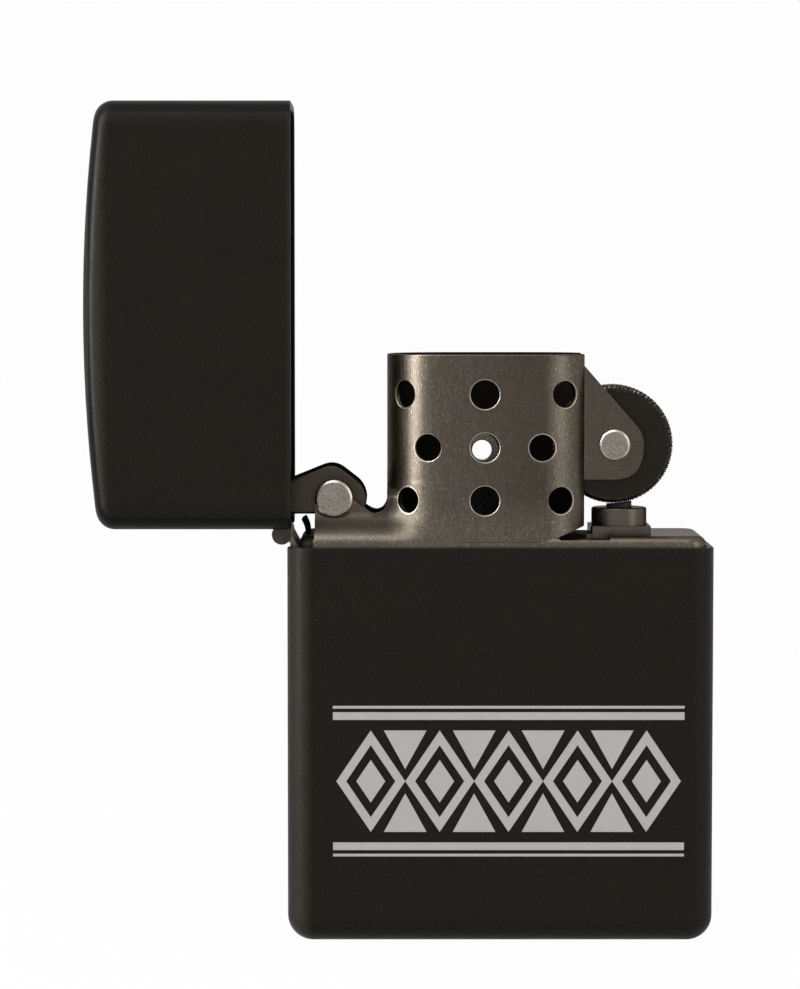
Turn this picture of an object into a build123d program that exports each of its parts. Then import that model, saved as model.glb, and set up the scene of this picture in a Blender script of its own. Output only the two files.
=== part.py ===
from build123d import *
from math import asin, cos, radians, sin, sqrt, tan
import os

# A flip-top petrol lighter, standing on its base with the lid swung open to the left.
# X runs along the width, Y from the front face (negative) to the back, Z up.
# The origin is the centre of the case's bottom face. All sizes are millimetres.

# --- Case and lid: two drawn sheet-metal cups of the same plan ---
case_width = 38.5
case_depth = 13.0
case_height = 35.8
case_wall = 0.6
case_corner_radius = 2.4
base_edge_radius = 2.3
lid_height = 18.65
lid_edge_radius = 1.7
lid_crown_radius = 150.0
rim_gap = 0.15
rim_round = 0.15

# --- Hinge: two leaves with five knuckles on one pin, outside the left wall ---
pin_outset = 0.5
barrel_radius = 0.9
barrel_gap = 0.15
pin_radius = 0.45
leaf_thickness = 0.4
leaf_length = 9.5
leaf_margin = 0.05
knuckle_count = 5
knuckle_gap = 0.06
running_gap = 0.05
notch_gap = 0.12

# --- Insert: the sheet-metal unit that slides into the case ---
insert_gap = 0.1
insert_wall = 0.5
insert_seat_gap = 0.3
deck_rise = 1.0
shoulder_radius = 0.8

# --- Cam: the toggle that holds the lid at both ends of its swing ---
cam_inset = 3.1
cam_rise = 3.27
cam_reach = 4.9
cam_peak = 3.27
cam_heel = 2.96
cam_cheek = 2.82
cam_shoulder = 2.62
cam_slope = 22.0
cam_peak_round = 1.9
cam_toe_round = 0.9
cam_edge_round = 0.3
cam_lid_gap = 0.29
cam_side_gap = 0.2
cam_ear_inset = 2.4
cam_ear_radius = 1.7
cam_ear_slope = -10.0
cam_skirt_rise = 1.3
cam_rivet_radius = 0.8
cam_rivet_head_radius = 1.73
cam_rivet_head_height = 0.5
press_gap = 0.01
spring_width = 4.0
spring_thickness = 0.4
spring_tip_angle = 35.0
spring_leg_length = 16.0

# --- Chimney: the perforated wind guard, closed at the left, open at the right ---
chimney_offset = 4.81
chimney_width = 17.84
chimney_height = 16.35
chimney_edge_round = 0.15
curl_angle = 60.0
curl_radius = 5.2
valley_offset = 0.96
valley_radius = 1.1
valley_rise = 1.95
web_run = 1.7
relief_length = 2.2
relief_height = 0.35
relief_rise = 1.0
hole_diameter = 2.6
side_hole_diameter = 2.4
rear_hole_diameter = 1.8
rear_hole_drop = 0.7
hole_edge_round = 0.1
hole_pattern_shift = -0.13
hole_top_drop = 3.6
hole_row_pitch = 4.77
hole_top_spread = 7.25
hole_middle_spread = 5.15
hole_bottom_spread = 6.9

# --- Spark wheel and its two ears ---
wheel_outset = 2.73
wheel_rise = 8.14
wheel_radius = 5.42
wheel_tooth_depth = 0.22
wheel_tooth_count = 84
wheel_hub_radius = 2.3
wheel_hub_gap = 0.1
wheel_ear_gap = 0.3
wheel_ear_radius = 2.65
wheel_ear_drop = 3.14
wheel_ear_top = 7.14
wheel_ear_slope = 39.0
axle_radius = 0.75
axle_head_radius = 1.42
axle_head_height = 0.4

# --- Flint tube and what it holds ---
flint_offset = 0.62
flint_radius = 1.15
flint_length = 5.0
flint_wheel_gap = 0.12
tube_wall = 0.5
tube_bore_gap = 0.1
collar_radius = 2.52
collar_height = 1.6
plate_half_width = 2.74
plate_half_depth = 2.8
plate_height = 0.72
plunger_length = 2.6
plunger_stem_radius = 0.55
plunger_stem_length = 1.6
coil_radius = 0.86
coil_wire_radius = 0.18
coil_turns = 17
screw_head_radius = 2.1
screw_head_height = 1.5
screw_shank_length = 4.0
screw_slot_width = 0.6
screw_slot_depth = 0.6
screw_floor_gap = 0.7

# --- Wick, wadding and felt ---
wick_radius = 1.5
wick_hole_gap = 0.15
wick_tip_rise = 6.2
wick_end_gap = 0.9
wick_first_bend_drop = 5.5
wick_second_bend_drop = 15.0
wick_second_bend_shift = 4.4
wick_third_bend_drop = 24.0
wick_third_bend_shift = 1.2
wick_end_shift = 3.2
felt_thickness = 2.2
felt_gap = 0.15
felt_lift = 0.25
ball_size = 8.3
ball_round = 3.4
ball_gap = 0.3

# Places that follow from the sizes above: the case, the hinge and the insert.
inner_half_width = case_width / 2 - case_wall
inner_half_depth = case_depth / 2 - case_wall
pin_x = -case_width / 2 - pin_outset
pin_z = case_height + barrel_gap + barrel_radius
hinge_line = Axis((pin_x, 0, pin_z), (0, -1, 0))
barrel_half_length = case_depth / 2 - case_corner_radius
leaf_near = pin_outset + case_wall
leaf_far = leaf_near + leaf_thickness
# How far the side walls are cut away, above and below the pin, to let the knuckles through.
notch_reach = barrel_radius + barrel_gap + leaf_thickness + notch_gap
insert_left = -inner_half_width + leaf_thickness + insert_gap
insert_right = inner_half_width - insert_gap
insert_half_depth = inner_half_depth - insert_gap
insert_bottom = base_edge_radius + insert_seat_gap
insert_corner_radius = case_corner_radius - case_wall - insert_gap
deck_z = case_height + deck_rise

# The cam, its ears and its spring.
cam_x = insert_left + cam_inset
cam_z = deck_z + cam_rise
cam_ear_y = insert_half_depth - cam_ear_inset
cam_half_width = cam_ear_y - insert_wall - cam_side_gap
cam_sole = cam_z - pin_z - leaf_far - cam_lid_gap
spring_left = insert_left + insert_wall
spring_right = spring_left + spring_thickness

# The chimney and its holes.
chimney_left = cam_x + chimney_offset
chimney_right = chimney_left + chimney_width
chimney_top = deck_z + chimney_height
valley_x = chimney_left - valley_offset
hole_pattern_x = (chimney_left + chimney_right) / 2 + hole_pattern_shift
hole_rows = (
    (hole_top_drop, hole_top_spread),
    (hole_top_drop + hole_row_pitch, hole_middle_spread),
    (hole_top_drop + 2 * hole_row_pitch, hole_bottom_spread),
)

# The spark wheel, and the flint tube under it.
wheel_x = chimney_right + wheel_outset
wheel_z = deck_z + wheel_rise
wheel_ear_y = insert_half_depth - curl_radius * (1 - cos(radians(curl_angle)))
wheel_half_width = wheel_ear_y - insert_wall - wheel_ear_gap
wheel_hub_height = wheel_ear_gap - wheel_hub_gap
flint_x = wheel_x + flint_offset
flint_bottom = wheel_z - wheel_radius - flint_length
tube_bore_radius = flint_radius + tube_bore_gap
tube_radius = tube_bore_radius + tube_wall
plate_top = deck_z + plate_height
collar_top = plate_top + collar_height
plunger_bottom = flint_bottom - plunger_length
screw_bottom = case_wall + screw_floor_gap
tube_bottom = screw_bottom + screw_head_height
screw_top = tube_bottom + screw_shank_length

# What fills the tank.
wick_x = (chimney_left + chimney_right) / 2
felt_bottom = insert_bottom + felt_lift
felt_top = felt_bottom + felt_thickness
ball_depth = 2 * (insert_half_depth - insert_wall - ball_gap)
ball_left_x = spring_right + ball_gap + ball_size / 2
ball_right_x = flint_x - tube_radius - ball_gap - ball_size / 2
ball_places = [
    (x, 0, felt_top + ball_gap + ball_size / 2 + row * (ball_size + ball_gap))
    for row in range(3)
    for x in (ball_left_x, ball_right_x)
]

os.makedirs("parts", exist_ok=True)


def finish_piece(piece, name):
    """Labels a finished piece, writes it and prints its size."""
    piece.part.label = name
    export_step(piece.part, f"parts/{name}.step")
    print(name, round(piece.part.volume, 2))


def xz_plane(y):
    """A plane facing the front at the given depth, with X to the right and Z up."""
    return Plane(origin=(0, y, 0), x_dir=(1, 0, 0), z_dir=(0, -1, 0))


def knuckle_spans(first):
    """The Y spans of every second knuckle, starting with the given one."""
    pitch = 2 * barrel_half_length / knuckle_count
    spans = []
    for number in range(first, knuckle_count, 2):
        low = -barrel_half_length + number * pitch + knuckle_gap / 2
        spans.append((low, low + pitch - knuckle_gap))
    return spans


def leaf_profile(side):
    """A knuckle seen along the pin: a ring and the cranked strip that joins it to its leaf.

    side is 1 for the leaf above the pin and -1 for the one below.
    """
    start = notch_reach - leaf_margin
    with BuildSketch(xz_plane(0)) as profile:
        with Locations((pin_x, pin_z)):
            Circle(barrel_radius)
        with BuildLine():
            Polyline(
                (pin_x + pin_radius, pin_z),
                (pin_x + barrel_radius, pin_z),
                (pin_x + leaf_far, pin_z + side * (start - leaf_thickness)),
                (pin_x + leaf_far, pin_z + side * start),
                (pin_x + leaf_near, pin_z + side * start),
                (pin_x + leaf_near, pin_z + side * (start - leaf_thickness)),
                (pin_x + pin_radius, pin_z + side * pin_radius),
                close=True,
            )
        make_face()
        with Locations((pin_x, pin_z)):
            Circle(pin_radius + running_gap, mode=Mode.SUBTRACT)
    return profile.sketch


def chimney_plan(inset):
    """The chimney's plan, moved inwards by inset: a half round at the left, flat sides, and
    sides that curl in at the right and stop at the wheel's ears. An inset plan runs on past
    the open end, so that taking it away leaves that end open."""
    half = insert_half_depth - inset
    left_x = chimney_left + insert_half_depth
    curl = radians(curl_angle)
    curl_x = chimney_right - curl_radius * sin(curl)
    curl_y = curl_radius - insert_half_depth
    end_x = curl_x + (curl_radius - inset) * sin(curl)
    end_y = curl_y - (curl_radius - inset) * cos(curl)
    past_x = end_x if inset == 0 else chimney_right + insert_wall
    past_y = end_y if inset == 0 else -(wheel_ear_y - insert_wall)
    with BuildSketch(Plane.XY.offset(deck_z)) as plan:
        with BuildLine():
            CenterArc((left_x, 0), half, 90, 180)
            Line((left_x, -half), (curl_x, -half))
            CenterArc((curl_x, curl_y), curl_radius - inset, -90, curl_angle)
            if inset > 0:
                Line((end_x, end_y), (past_x, past_y))
            Line((past_x, past_y), (past_x, -past_y))
            if inset > 0:
                Line((past_x, -past_y), (end_x, -end_y))
            CenterArc((curl_x, -curl_y), curl_radius - inset, 90 - curl_angle, curl_angle)
            Line((curl_x, half), (left_x, half))
        make_face()
    return plan.sketch


def chimney_hole_plane(x, z):
    """A plane on the chimney's front skin at X and Z, facing straight out of the sheet."""
    left_x = chimney_left + insert_half_depth
    curl_x = chimney_right - curl_radius * sin(radians(curl_angle))
    if x < left_x:
        lean = asin((x - left_x) / insert_half_depth)
        y = -insert_half_depth * cos(lean)
    elif x > curl_x:
        lean = asin((x - curl_x) / curl_radius)
        y = curl_radius - insert_half_depth - curl_radius * cos(lean)
    else:
        lean = 0.0
        y = -insert_half_depth
    return Plane(origin=(x, y, z), z_dir=(sin(lean), -cos(lean), 0))


# The bottom case: a deep drawn cup, cut away at its left rim for the knuckles.
with BuildPart() as bottom_case:
    with BuildSketch():
        RectangleRounded(case_width, case_depth, case_corner_radius)
    extrude(amount=case_height)
    fillet(bottom_case.faces().sort_by(Axis.Z)[0].edges(), base_edge_radius)
    offset(amount=-case_wall, openings=bottom_case.faces().sort_by(Axis.Z)[-1])
    fillet(bottom_case.faces().sort_by(Axis.Z)[-1].edges(), rim_round)
    with BuildSketch(xz_plane(barrel_half_length + notch_gap)):
        with Locations((-case_width / 2, case_height)):
            Rectangle(3 * case_wall, 2 * (notch_reach - (pin_z - case_height)))
    extrude(amount=2 * (barrel_half_length + notch_gap), mode=Mode.SUBTRACT)
finish_piece(bottom_case, "bottom_case")

# The lid: a shallow cup with a crowned top, made shut on the case and then swung open.
lid_rim_z = case_height + rim_gap
lid_top_z = lid_rim_z + lid_height
lid_side_z = lid_top_z - lid_crown_radius + sqrt(lid_crown_radius**2 - (case_width / 2) ** 2)
with BuildPart() as lid:
    with BuildSketch(xz_plane(case_depth / 2)):
        with BuildLine():
            Polyline(
                (-case_width / 2, lid_side_z),
                (-case_width / 2, lid_rim_z),
                (case_width / 2, lid_rim_z),
                (case_width / 2, lid_side_z),
            )
            ThreePointArc(
                (case_width / 2, lid_side_z), (0, lid_top_z), (-case_width / 2, lid_side_z)
            )
        make_face()
    extrude(amount=case_depth)
    fillet(lid.edges().filter_by(Axis.Z), case_corner_radius)
    fillet(lid.faces().sort_by(Axis.Z)[-1].edges(), lid_edge_radius)
    offset(amount=-case_wall, openings=lid.faces().sort_by(Axis.Z)[0])
    fillet(lid.faces().sort_by(Axis.Z)[0].edges(), rim_round)
    with BuildSketch(xz_plane(barrel_half_length + notch_gap)):
        with Locations((-case_width / 2, lid_rim_z)):
            Rectangle(3 * case_wall, 2 * (notch_reach - (lid_rim_z - pin_z)))
    extrude(amount=2 * (barrel_half_length + notch_gap), mode=Mode.SUBTRACT)
lid.part = lid.part.rotate(hinge_line, 90)
finish_piece(lid, "lid")

# The hinge leaves: flat plates fixed to the inside of the left walls, with knuckles on the pin.
with BuildPart() as case_hinge_leaf:
    for low, high in knuckle_spans(0):
        extrude(leaf_profile(-1).moved(Location((0, high, 0))), amount=high - low)
    with BuildSketch(xz_plane(barrel_half_length - leaf_margin)):
        with Locations((pin_x + (leaf_near + leaf_far) / 2, pin_z - notch_reach - leaf_length / 2)):
            Rectangle(leaf_thickness, leaf_length + 2 * leaf_margin)
    extrude(amount=2 * (barrel_half_length - leaf_margin))
finish_piece(case_hinge_leaf, "case_hinge_leaf")

with BuildPart() as lid_hinge_leaf:
    for low, high in knuckle_spans(1):
        extrude(leaf_profile(1).moved(Location((0, high, 0))), amount=high - low)
    with BuildSketch(xz_plane(barrel_half_length - leaf_margin)):
        with Locations((pin_x + (leaf_near + leaf_far) / 2, pin_z + notch_reach + leaf_length / 2)):
            Rectangle(leaf_thickness, leaf_length + 2 * leaf_margin)
    extrude(amount=2 * (barrel_half_length - leaf_margin))
lid_hinge_leaf.part = lid_hinge_leaf.part.rotate(hinge_line, 90)
finish_piece(lid_hinge_leaf, "lid_hinge_leaf")

with BuildPart() as hinge_pin:
    with BuildSketch(xz_plane(barrel_half_length)):
        with Locations((pin_x, pin_z)):
            Circle(pin_radius)
    extrude(amount=2 * barrel_half_length)
    chamfer(hinge_pin.edges().filter_by(GeomType.CIRCLE), pin_radius / 4)
finish_piece(hinge_pin, "hinge_pin")


def rivet(x, z, shank_radius, head_radius, head_height, grip):
    """A rivet along Y with a low domed head outside each ear; grip is the distance over them."""
    half = grip / 2 + running_gap
    with BuildPart() as body:
        with BuildSketch(xz_plane(half)):
            with Locations((x, z)):
                Circle(shank_radius)
        extrude(amount=2 * half)
        for side in (-1, 1):
            with BuildSketch(xz_plane(side * half)):
                with Locations((x, z)):
                    Circle(head_radius)
            extrude(amount=-side * head_height)
        rims = body.edges().filter_by(GeomType.CIRCLE).group_by(Axis.Y)
        fillet(rims[0] + rims[-1], 0.6 * head_height)
    return body


def cam_ear_outline():
    """The skin round the cam seen from the front: an ear behind the rivet head, a slope down
    to a rounded valley, and a web that runs up into the chimney's closed end."""
    top_x = cam_x + cam_ear_radius * cos(radians(cam_ear_slope))
    top_z = cam_z + cam_ear_radius * sin(radians(cam_ear_slope))
    valley_z = deck_z + valley_rise
    web_x = chimney_left + web_run
    with BuildSketch(xz_plane(0)) as outline:
        with BuildLine():
            Polyline(
                (web_x, cam_z),
                (web_x, deck_z - insert_wall),
                (cam_x - cam_ear_radius, deck_z - insert_wall),
                (cam_x - cam_ear_radius, cam_z),
            )
            CenterArc((cam_x, cam_z), cam_ear_radius, 180, cam_ear_slope - 180)
            Line((top_x, top_z), (valley_x - valley_radius, valley_z + valley_radius / 2))
            ThreePointArc(
                (valley_x - valley_radius, valley_z + valley_radius / 2),
                (valley_x, valley_z),
                (chimney_left, cam_z),
            )
            Line((chimney_left, cam_z), (web_x, cam_z))
        make_face()
    return outline.sketch


def wheel_ear_outline():
    """One of the wheel's ears seen from the front: a tab with a sloping top edge and a round
    end about the axle."""
    end_angle = radians(wheel_ear_slope)
    end_x = wheel_x + wheel_ear_radius * cos(end_angle)
    end_z = wheel_z + wheel_ear_radius * sin(end_angle)
    root_x = chimney_right - insert_wall
    with BuildSketch(xz_plane(0)) as outline:
        with BuildLine():
            Polyline(
                (wheel_x, wheel_z - wheel_ear_drop),
                (root_x, wheel_z - wheel_ear_drop),
                (root_x, wheel_z + wheel_ear_top),
                (chimney_right, wheel_z + wheel_ear_top),
                (end_x, end_z),
            )
            JernArc(
                start=(end_x, end_z),
                tangent=(sin(end_angle), -cos(end_angle)),
                radius=wheel_ear_radius,
                arc_size=-wheel_ear_slope,
            )
            Spline(
                (wheel_x + wheel_ear_radius, wheel_z),
                (wheel_x, wheel_z - wheel_ear_drop),
                tangents=[(0, -1), (-1, 0)],
            )
        make_face()
    return outline.sketch


# The insert's shell: tank, deck, chimney, cam ears and wheel ears in one folded sheet.
with BuildPart() as insert_shell:
    with BuildSketch(Plane.XY.offset(insert_bottom)):
        with Locations(((insert_left + insert_right) / 2, 0)):
            RectangleRounded(
                insert_right - insert_left, 2 * insert_half_depth, insert_corner_radius
            )
    extrude(amount=deck_z - insert_bottom)
    fillet(insert_shell.faces().sort_by(Axis.Z)[-1].edges(), shoulder_radius)
    offset(amount=-insert_wall, openings=insert_shell.faces().sort_by(Axis.Z)[0])
    extrude(chimney_plan(0).moved(Location((0, 0, -insert_wall))), amount=chimney_height + insert_wall)
    fillet(insert_shell.faces().sort_by(Axis.Z)[-1].edges(), chimney_edge_round)
    for ear_y in (-cam_ear_y, cam_ear_y):
        front_y = ear_y + insert_wall if ear_y < 0 else ear_y
        extrude(cam_ear_outline().moved(Location((0, front_y, 0))), amount=insert_wall)
    for ear_y in (-wheel_ear_y, wheel_ear_y):
        front_y = ear_y + insert_wall if ear_y < 0 else ear_y
        extrude(wheel_ear_outline().moved(Location((0, front_y, 0))), amount=insert_wall)
    for side in (-1, 1):
        with BuildSketch(Plane.YZ.offset(cam_x - cam_ear_radius)):
            with BuildLine():
                Polyline(
                    (side * (insert_half_depth - shoulder_radius / 2), deck_z - insert_wall / 2),
                    (side * (cam_ear_y - insert_wall), deck_z - insert_wall / 2),
                    (side * (cam_ear_y - insert_wall), deck_z + cam_skirt_rise),
                    (side * cam_ear_y, deck_z + cam_skirt_rise),
                    close=True,
                )
            make_face()
        extrude(amount=chimney_left + insert_half_depth / 2 - cam_x + cam_ear_radius)
    extrude(chimney_plan(insert_wall), amount=chimney_height, mode=Mode.SUBTRACT)
    for drop, spread in hole_rows:
        for shift, diameter in (
            (-spread, side_hole_diameter),
            (0.0, hole_diameter),
            (spread, side_hole_diameter),
        ):
            hole_plane = chimney_hole_plane(hole_pattern_x + shift, chimney_top - drop)
            with BuildSketch(hole_plane.offset(insert_wall / 2)):
                Circle(diameter / 2)
            extrude(amount=-2 * insert_wall, mode=Mode.SUBTRACT)
    with BuildSketch(xz_plane(insert_half_depth + insert_wall)):
        with Locations((hole_pattern_x, chimney_top - hole_rows[1][0] - rear_hole_drop)):
            Circle(rear_hole_diameter / 2)
    extrude(amount=3 * insert_wall, mode=Mode.SUBTRACT)
    hole_radii = (hole_diameter / 2, side_hole_diameter / 2, rear_hole_diameter / 2)
    hole_walls = insert_shell.faces().filter_by(
        lambda face: face.geom_type == GeomType.CYLINDER
        and any(abs(face.radius - radius) < running_gap for radius in hole_radii)
    )
    fillet(hole_walls.edges().filter_by(lambda edge: edge.is_closed), hole_edge_round)
    with BuildSketch(Plane.XY.offset(deck_z)):
        with Locations((wick_x, 0)):
            Circle(wick_radius + wick_hole_gap)
        with Locations((flint_x, 0)):
            Circle(tube_radius + running_gap)
        with Locations(((spring_left + spring_right) / 2, 0)):
            Rectangle(spring_thickness + 2 * running_gap, spring_width + 4 * running_gap)
    extrude(amount=-2 * insert_wall, mode=Mode.SUBTRACT)
    with BuildSketch(xz_plane(insert_half_depth)):
        for rivet_x, rivet_z, radius in (
            (cam_x, cam_z, cam_rivet_radius),
            (wheel_x, wheel_z, axle_radius),
        ):
            with Locations((rivet_x, rivet_z)):
                Circle(radius + press_gap)
    extrude(amount=2 * insert_half_depth, mode=Mode.SUBTRACT)
    for side in (-1, 1):
        slit_x = chimney_right - relief_length
        slit_z = deck_z - relief_height / 2
        with BuildSketch(xz_plane(side * insert_half_depth)):
            with BuildLine():
                Line(
                    (chimney_right + relief_length, deck_z - relief_height),
                    (slit_x, deck_z - relief_height),
                )
                ThreePointArc(
                    (slit_x, deck_z - relief_height),
                    (slit_x - relief_height / 2, slit_z),
                    (slit_x, deck_z),
                )
                Line((slit_x, deck_z), (chimney_right + insert_wall, deck_z + relief_rise))
                Line(
                    (chimney_right + insert_wall, deck_z + relief_rise),
                    (chimney_right + relief_length, deck_z + relief_rise),
                )
                Line(
                    (chimney_right + relief_length, deck_z + relief_rise),
                    (chimney_right + relief_length, deck_z - relief_height),
                )
            make_face()
        relief_depth = insert_half_depth - wheel_ear_y + insert_wall
        extrude(amount=side * relief_depth, mode=Mode.SUBTRACT)
finish_piece(insert_shell, "insert_shell")

# The cam: a solid toggle between its ears, with a long toe towards the lid and a short heel.
with BuildPart() as cam:
    with BuildSketch(xz_plane(cam_half_width)):
        with BuildLine():
            toe_low = (cam_x - cam_reach, cam_z - cam_sole)
            toe_high = (cam_x - cam_reach, cam_z + cam_peak - cam_reach * tan(radians(cam_slope)))
            peak = (cam_x, cam_z + cam_peak)
            shoulder = (
                cam_x + cam_shoulder * cos(radians(45)),
                cam_z + cam_shoulder * sin(radians(45)),
            )
            heel = (cam_x + cam_heel, cam_z)
            heel_low = (cam_x + sqrt(cam_heel**2 - cam_sole**2), cam_z - cam_sole)
            Polyline(heel_low, toe_low, toe_high, peak)
            Line(peak, shoulder)
            ThreePointArc(
                shoulder,
                (
                    cam_x + cam_cheek * cos(radians(22.5)),
                    cam_z + cam_cheek * sin(radians(22.5)),
                ),
                heel,
            )
            ThreePointArc(
                heel,
                (
                    cam_x + cam_heel * cos(radians(-15)),
                    cam_z + cam_heel * sin(radians(-15)),
                ),
                heel_low,
            )
        make_face()
        fillet(vertices().sort_by(Axis.Y)[-1], cam_peak_round)
        fillet(vertices().sort_by(Axis.X)[:2], cam_toe_round)
        with Locations((cam_x, cam_z)):
            Circle(cam_rivet_radius + running_gap, mode=Mode.SUBTRACT)
    extrude(amount=2 * cam_half_width)
    cam_sides = cam.faces().sort_by(Axis.Y)
    fillet(
        cam_sides[0].outer_wire().edges() + cam_sides[-1].outer_wire().edges(), cam_edge_round
    )
finish_piece(cam, "cam")

cam_rivet = rivet(
    cam_x, cam_z, cam_rivet_radius, cam_rivet_head_radius, cam_rivet_head_height, 2 * cam_ear_y
)
finish_piece(cam_rivet, "cam_rivet")

wheel_axle = rivet(
    wheel_x, wheel_z, axle_radius, axle_head_radius, axle_head_height, 2 * wheel_ear_y
)
finish_piece(wheel_axle, "wheel_axle")

# The cam's leaf spring: a strip up the inside of the tank's left wall, through the deck, its
# free end curled about the hinge pin's axis so that the lid's leaf clears it.
with BuildPart() as cam_spring:
    with BuildSketch(xz_plane(spring_width / 2)):
        outer = spring_right - pin_x
        inner = spring_left - pin_x
        with BuildLine():
            Polyline(
                (pin_x + inner, pin_z),
                (pin_x + inner, pin_z - spring_leg_length),
                (pin_x + outer, pin_z - spring_leg_length),
                (pin_x + outer, pin_z),
            )
            CenterArc((pin_x, pin_z), outer, 0, spring_tip_angle)
            PolarLine(
                (
                    pin_x + outer * cos(radians(spring_tip_angle)),
                    pin_z + outer * sin(radians(spring_tip_angle)),
                ),
                -spring_thickness,
                spring_tip_angle,
            )
            CenterArc((pin_x, pin_z), inner, 0, spring_tip_angle)
        make_face()
    extrude(amount=spring_width)
finish_piece(cam_spring, "cam_spring")

# The spark wheel: straight knurling all round, with a low hub on each side.
with BuildPart() as spark_wheel:
    with BuildSketch(xz_plane(wheel_half_width)):
        with BuildLine():
            Polyline(
                [
                    (
                        wheel_x + radius * cos(radians(360 * (tooth + shift) / wheel_tooth_count)),
                        wheel_z + radius * sin(radians(360 * (tooth + shift) / wheel_tooth_count)),
                    )
                    for tooth in range(wheel_tooth_count)
                    for radius, shift in (
                        (wheel_radius, 0.0),
                        (wheel_radius - wheel_tooth_depth, 0.5),
                    )
                ],
                close=True,
            )
        make_face()
    extrude(amount=2 * wheel_half_width)
    with BuildSketch(xz_plane(wheel_half_width + wheel_hub_height)):
        with Locations((wheel_x, wheel_z)):
            Circle(wheel_hub_radius)
    extrude(amount=2 * (wheel_half_width + wheel_hub_height))
    with BuildSketch(xz_plane(wheel_half_width + wheel_hub_height)):
        with Locations((wheel_x, wheel_z)):
            Circle(axle_radius + running_gap)
    extrude(amount=2 * (wheel_half_width + wheel_hub_height), mode=Mode.SUBTRACT)
finish_piece(spark_wheel, "spark_wheel")


def tube_plane(z):
    """A level plane centred on the flint tube."""
    return Plane.XY.offset(z).move(Location((flint_x, 0, 0)))


# The flint: a round rod whose top is worn hollow by the wheel.
with BuildPart() as flint:
    with BuildSketch(tube_plane(flint_bottom)):
        Circle(flint_radius)
    extrude(amount=flint_length + flint_radius)
    with BuildSketch(xz_plane(2 * flint_radius)):
        with Locations((wheel_x, wheel_z)):
            Circle(wheel_radius + flint_wheel_gap)
    extrude(amount=4 * flint_radius, mode=Mode.SUBTRACT)
finish_piece(flint, "flint")

# The plate under the collar, seated on the deck.
with BuildPart() as flint_plate:
    with BuildSketch(Plane.XY.offset(deck_z)):
        with Locations((flint_x, 0)):
            Rectangle(2 * plate_half_width, 2 * plate_half_depth)
            Circle(tube_radius + running_gap, mode=Mode.SUBTRACT)
    extrude(amount=plate_height)
    chamfer(flint_plate.edges().filter_by(Axis.Z), plate_height / 4)
finish_piece(flint_plate, "flint_plate")

# The flint tube: collar on the plate, tube down through the tank, bored right through.
with BuildPart() as flint_tube:
    with BuildSketch(tube_plane(tube_bottom)):
        Circle(tube_radius)
    extrude(amount=plate_top - tube_bottom)
    with BuildSketch(tube_plane(plate_top)):
        Circle(collar_radius)
    extrude(amount=collar_height)
    fillet(flint_tube.faces().sort_by(Axis.Z)[-1].edges(), collar_height / 8)
    with BuildSketch(tube_plane(tube_bottom)):
        Circle(tube_bore_radius)
    extrude(amount=collar_top - tube_bottom, mode=Mode.SUBTRACT)
finish_piece(flint_tube, "flint_tube")

# The plunger: a brass tip that pushes the flint, with a stem inside the coil.
with BuildPart() as plunger:
    with BuildSketch(tube_plane(plunger_bottom)):
        Circle(flint_radius)
    extrude(amount=plunger_length)
    with BuildSketch(tube_plane(plunger_bottom)):
        Circle(plunger_stem_radius)
    extrude(amount=-plunger_stem_length)
finish_piece(plunger, "plunger")

# The flint screw: a slotted head under the tank and a shank in the tube's lower end.
with BuildPart() as flint_screw:
    with BuildSketch(tube_plane(screw_bottom)):
        Circle(screw_head_radius)
    extrude(amount=screw_head_height - running_gap)
    chamfer(flint_screw.faces().sort_by(Axis.Z)[0].edges(), screw_head_height / 6)
    with BuildSketch(tube_plane(screw_bottom)):
        Circle(tube_bore_radius - running_gap)
    extrude(amount=screw_top - screw_bottom)
    with BuildSketch(tube_plane(screw_bottom)):
        Rectangle(2 * screw_head_radius, screw_slot_width)
    extrude(amount=screw_slot_depth, mode=Mode.SUBTRACT)
finish_piece(flint_screw, "flint_screw")

# The coil spring between screw and plunger.
coil_low = screw_top + coil_wire_radius
coil_high = plunger_bottom - coil_wire_radius
with BuildPart() as flint_spring:
    with BuildLine():
        coil = Helix(
            pitch=(coil_high - coil_low) / coil_turns,
            height=coil_high - coil_low,
            radius=coil_radius,
            center=(flint_x, 0, coil_low),
        )
    with BuildSketch(Plane(origin=coil @ 0, z_dir=coil % 0)):
        Circle(coil_wire_radius)
    sweep(path=coil, is_frenet=True)
finish_piece(flint_spring, "flint_spring")

# The wick: down from the chimney through the deck, then winding between the wadding.
wick_points = [
    (wick_x, deck_z + wick_tip_rise),
    (wick_x, deck_z - wick_first_bend_drop),
    (wick_x - wick_second_bend_shift, deck_z - wick_second_bend_drop),
    (wick_x - wick_third_bend_shift, deck_z - wick_third_bend_drop),
    (wick_x - wick_end_shift, felt_top + wick_end_gap),
]
wick_arcs = []
for before, corner, after in zip(wick_points, wick_points[1:], wick_points[2:]):
    run_in = Vector(*corner) - Vector(*before)
    run_out = Vector(*after) - Vector(*corner)
    shorter = min(run_in.length, run_out.length)
    wick_arcs.append(0.45 * shorter / tan(radians(run_in.get_angle(run_out) / 2)))
with BuildPart() as wick:
    with BuildLine(xz_plane(0)) as wick_route:
        FilletPolyline(*wick_points, radius=wick_arcs)
    with BuildSketch(Plane(origin=(wick_x, 0, deck_z + wick_tip_rise), z_dir=(0, 0, -1))):
        Circle(wick_radius)
    sweep(path=wick_route.wires()[0])
print("wick length", round(wick_route.wires()[0].length, 2))
finish_piece(wick, "wick")

# The wadding: six squeezed balls, three on each side of the wick.
with BuildPart() as packing_balls:
    with Locations(*ball_places):
        Box(ball_size, ball_depth, ball_size)
    fillet(packing_balls.edges(), ball_round)
finish_piece(packing_balls, "packing_balls")

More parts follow.
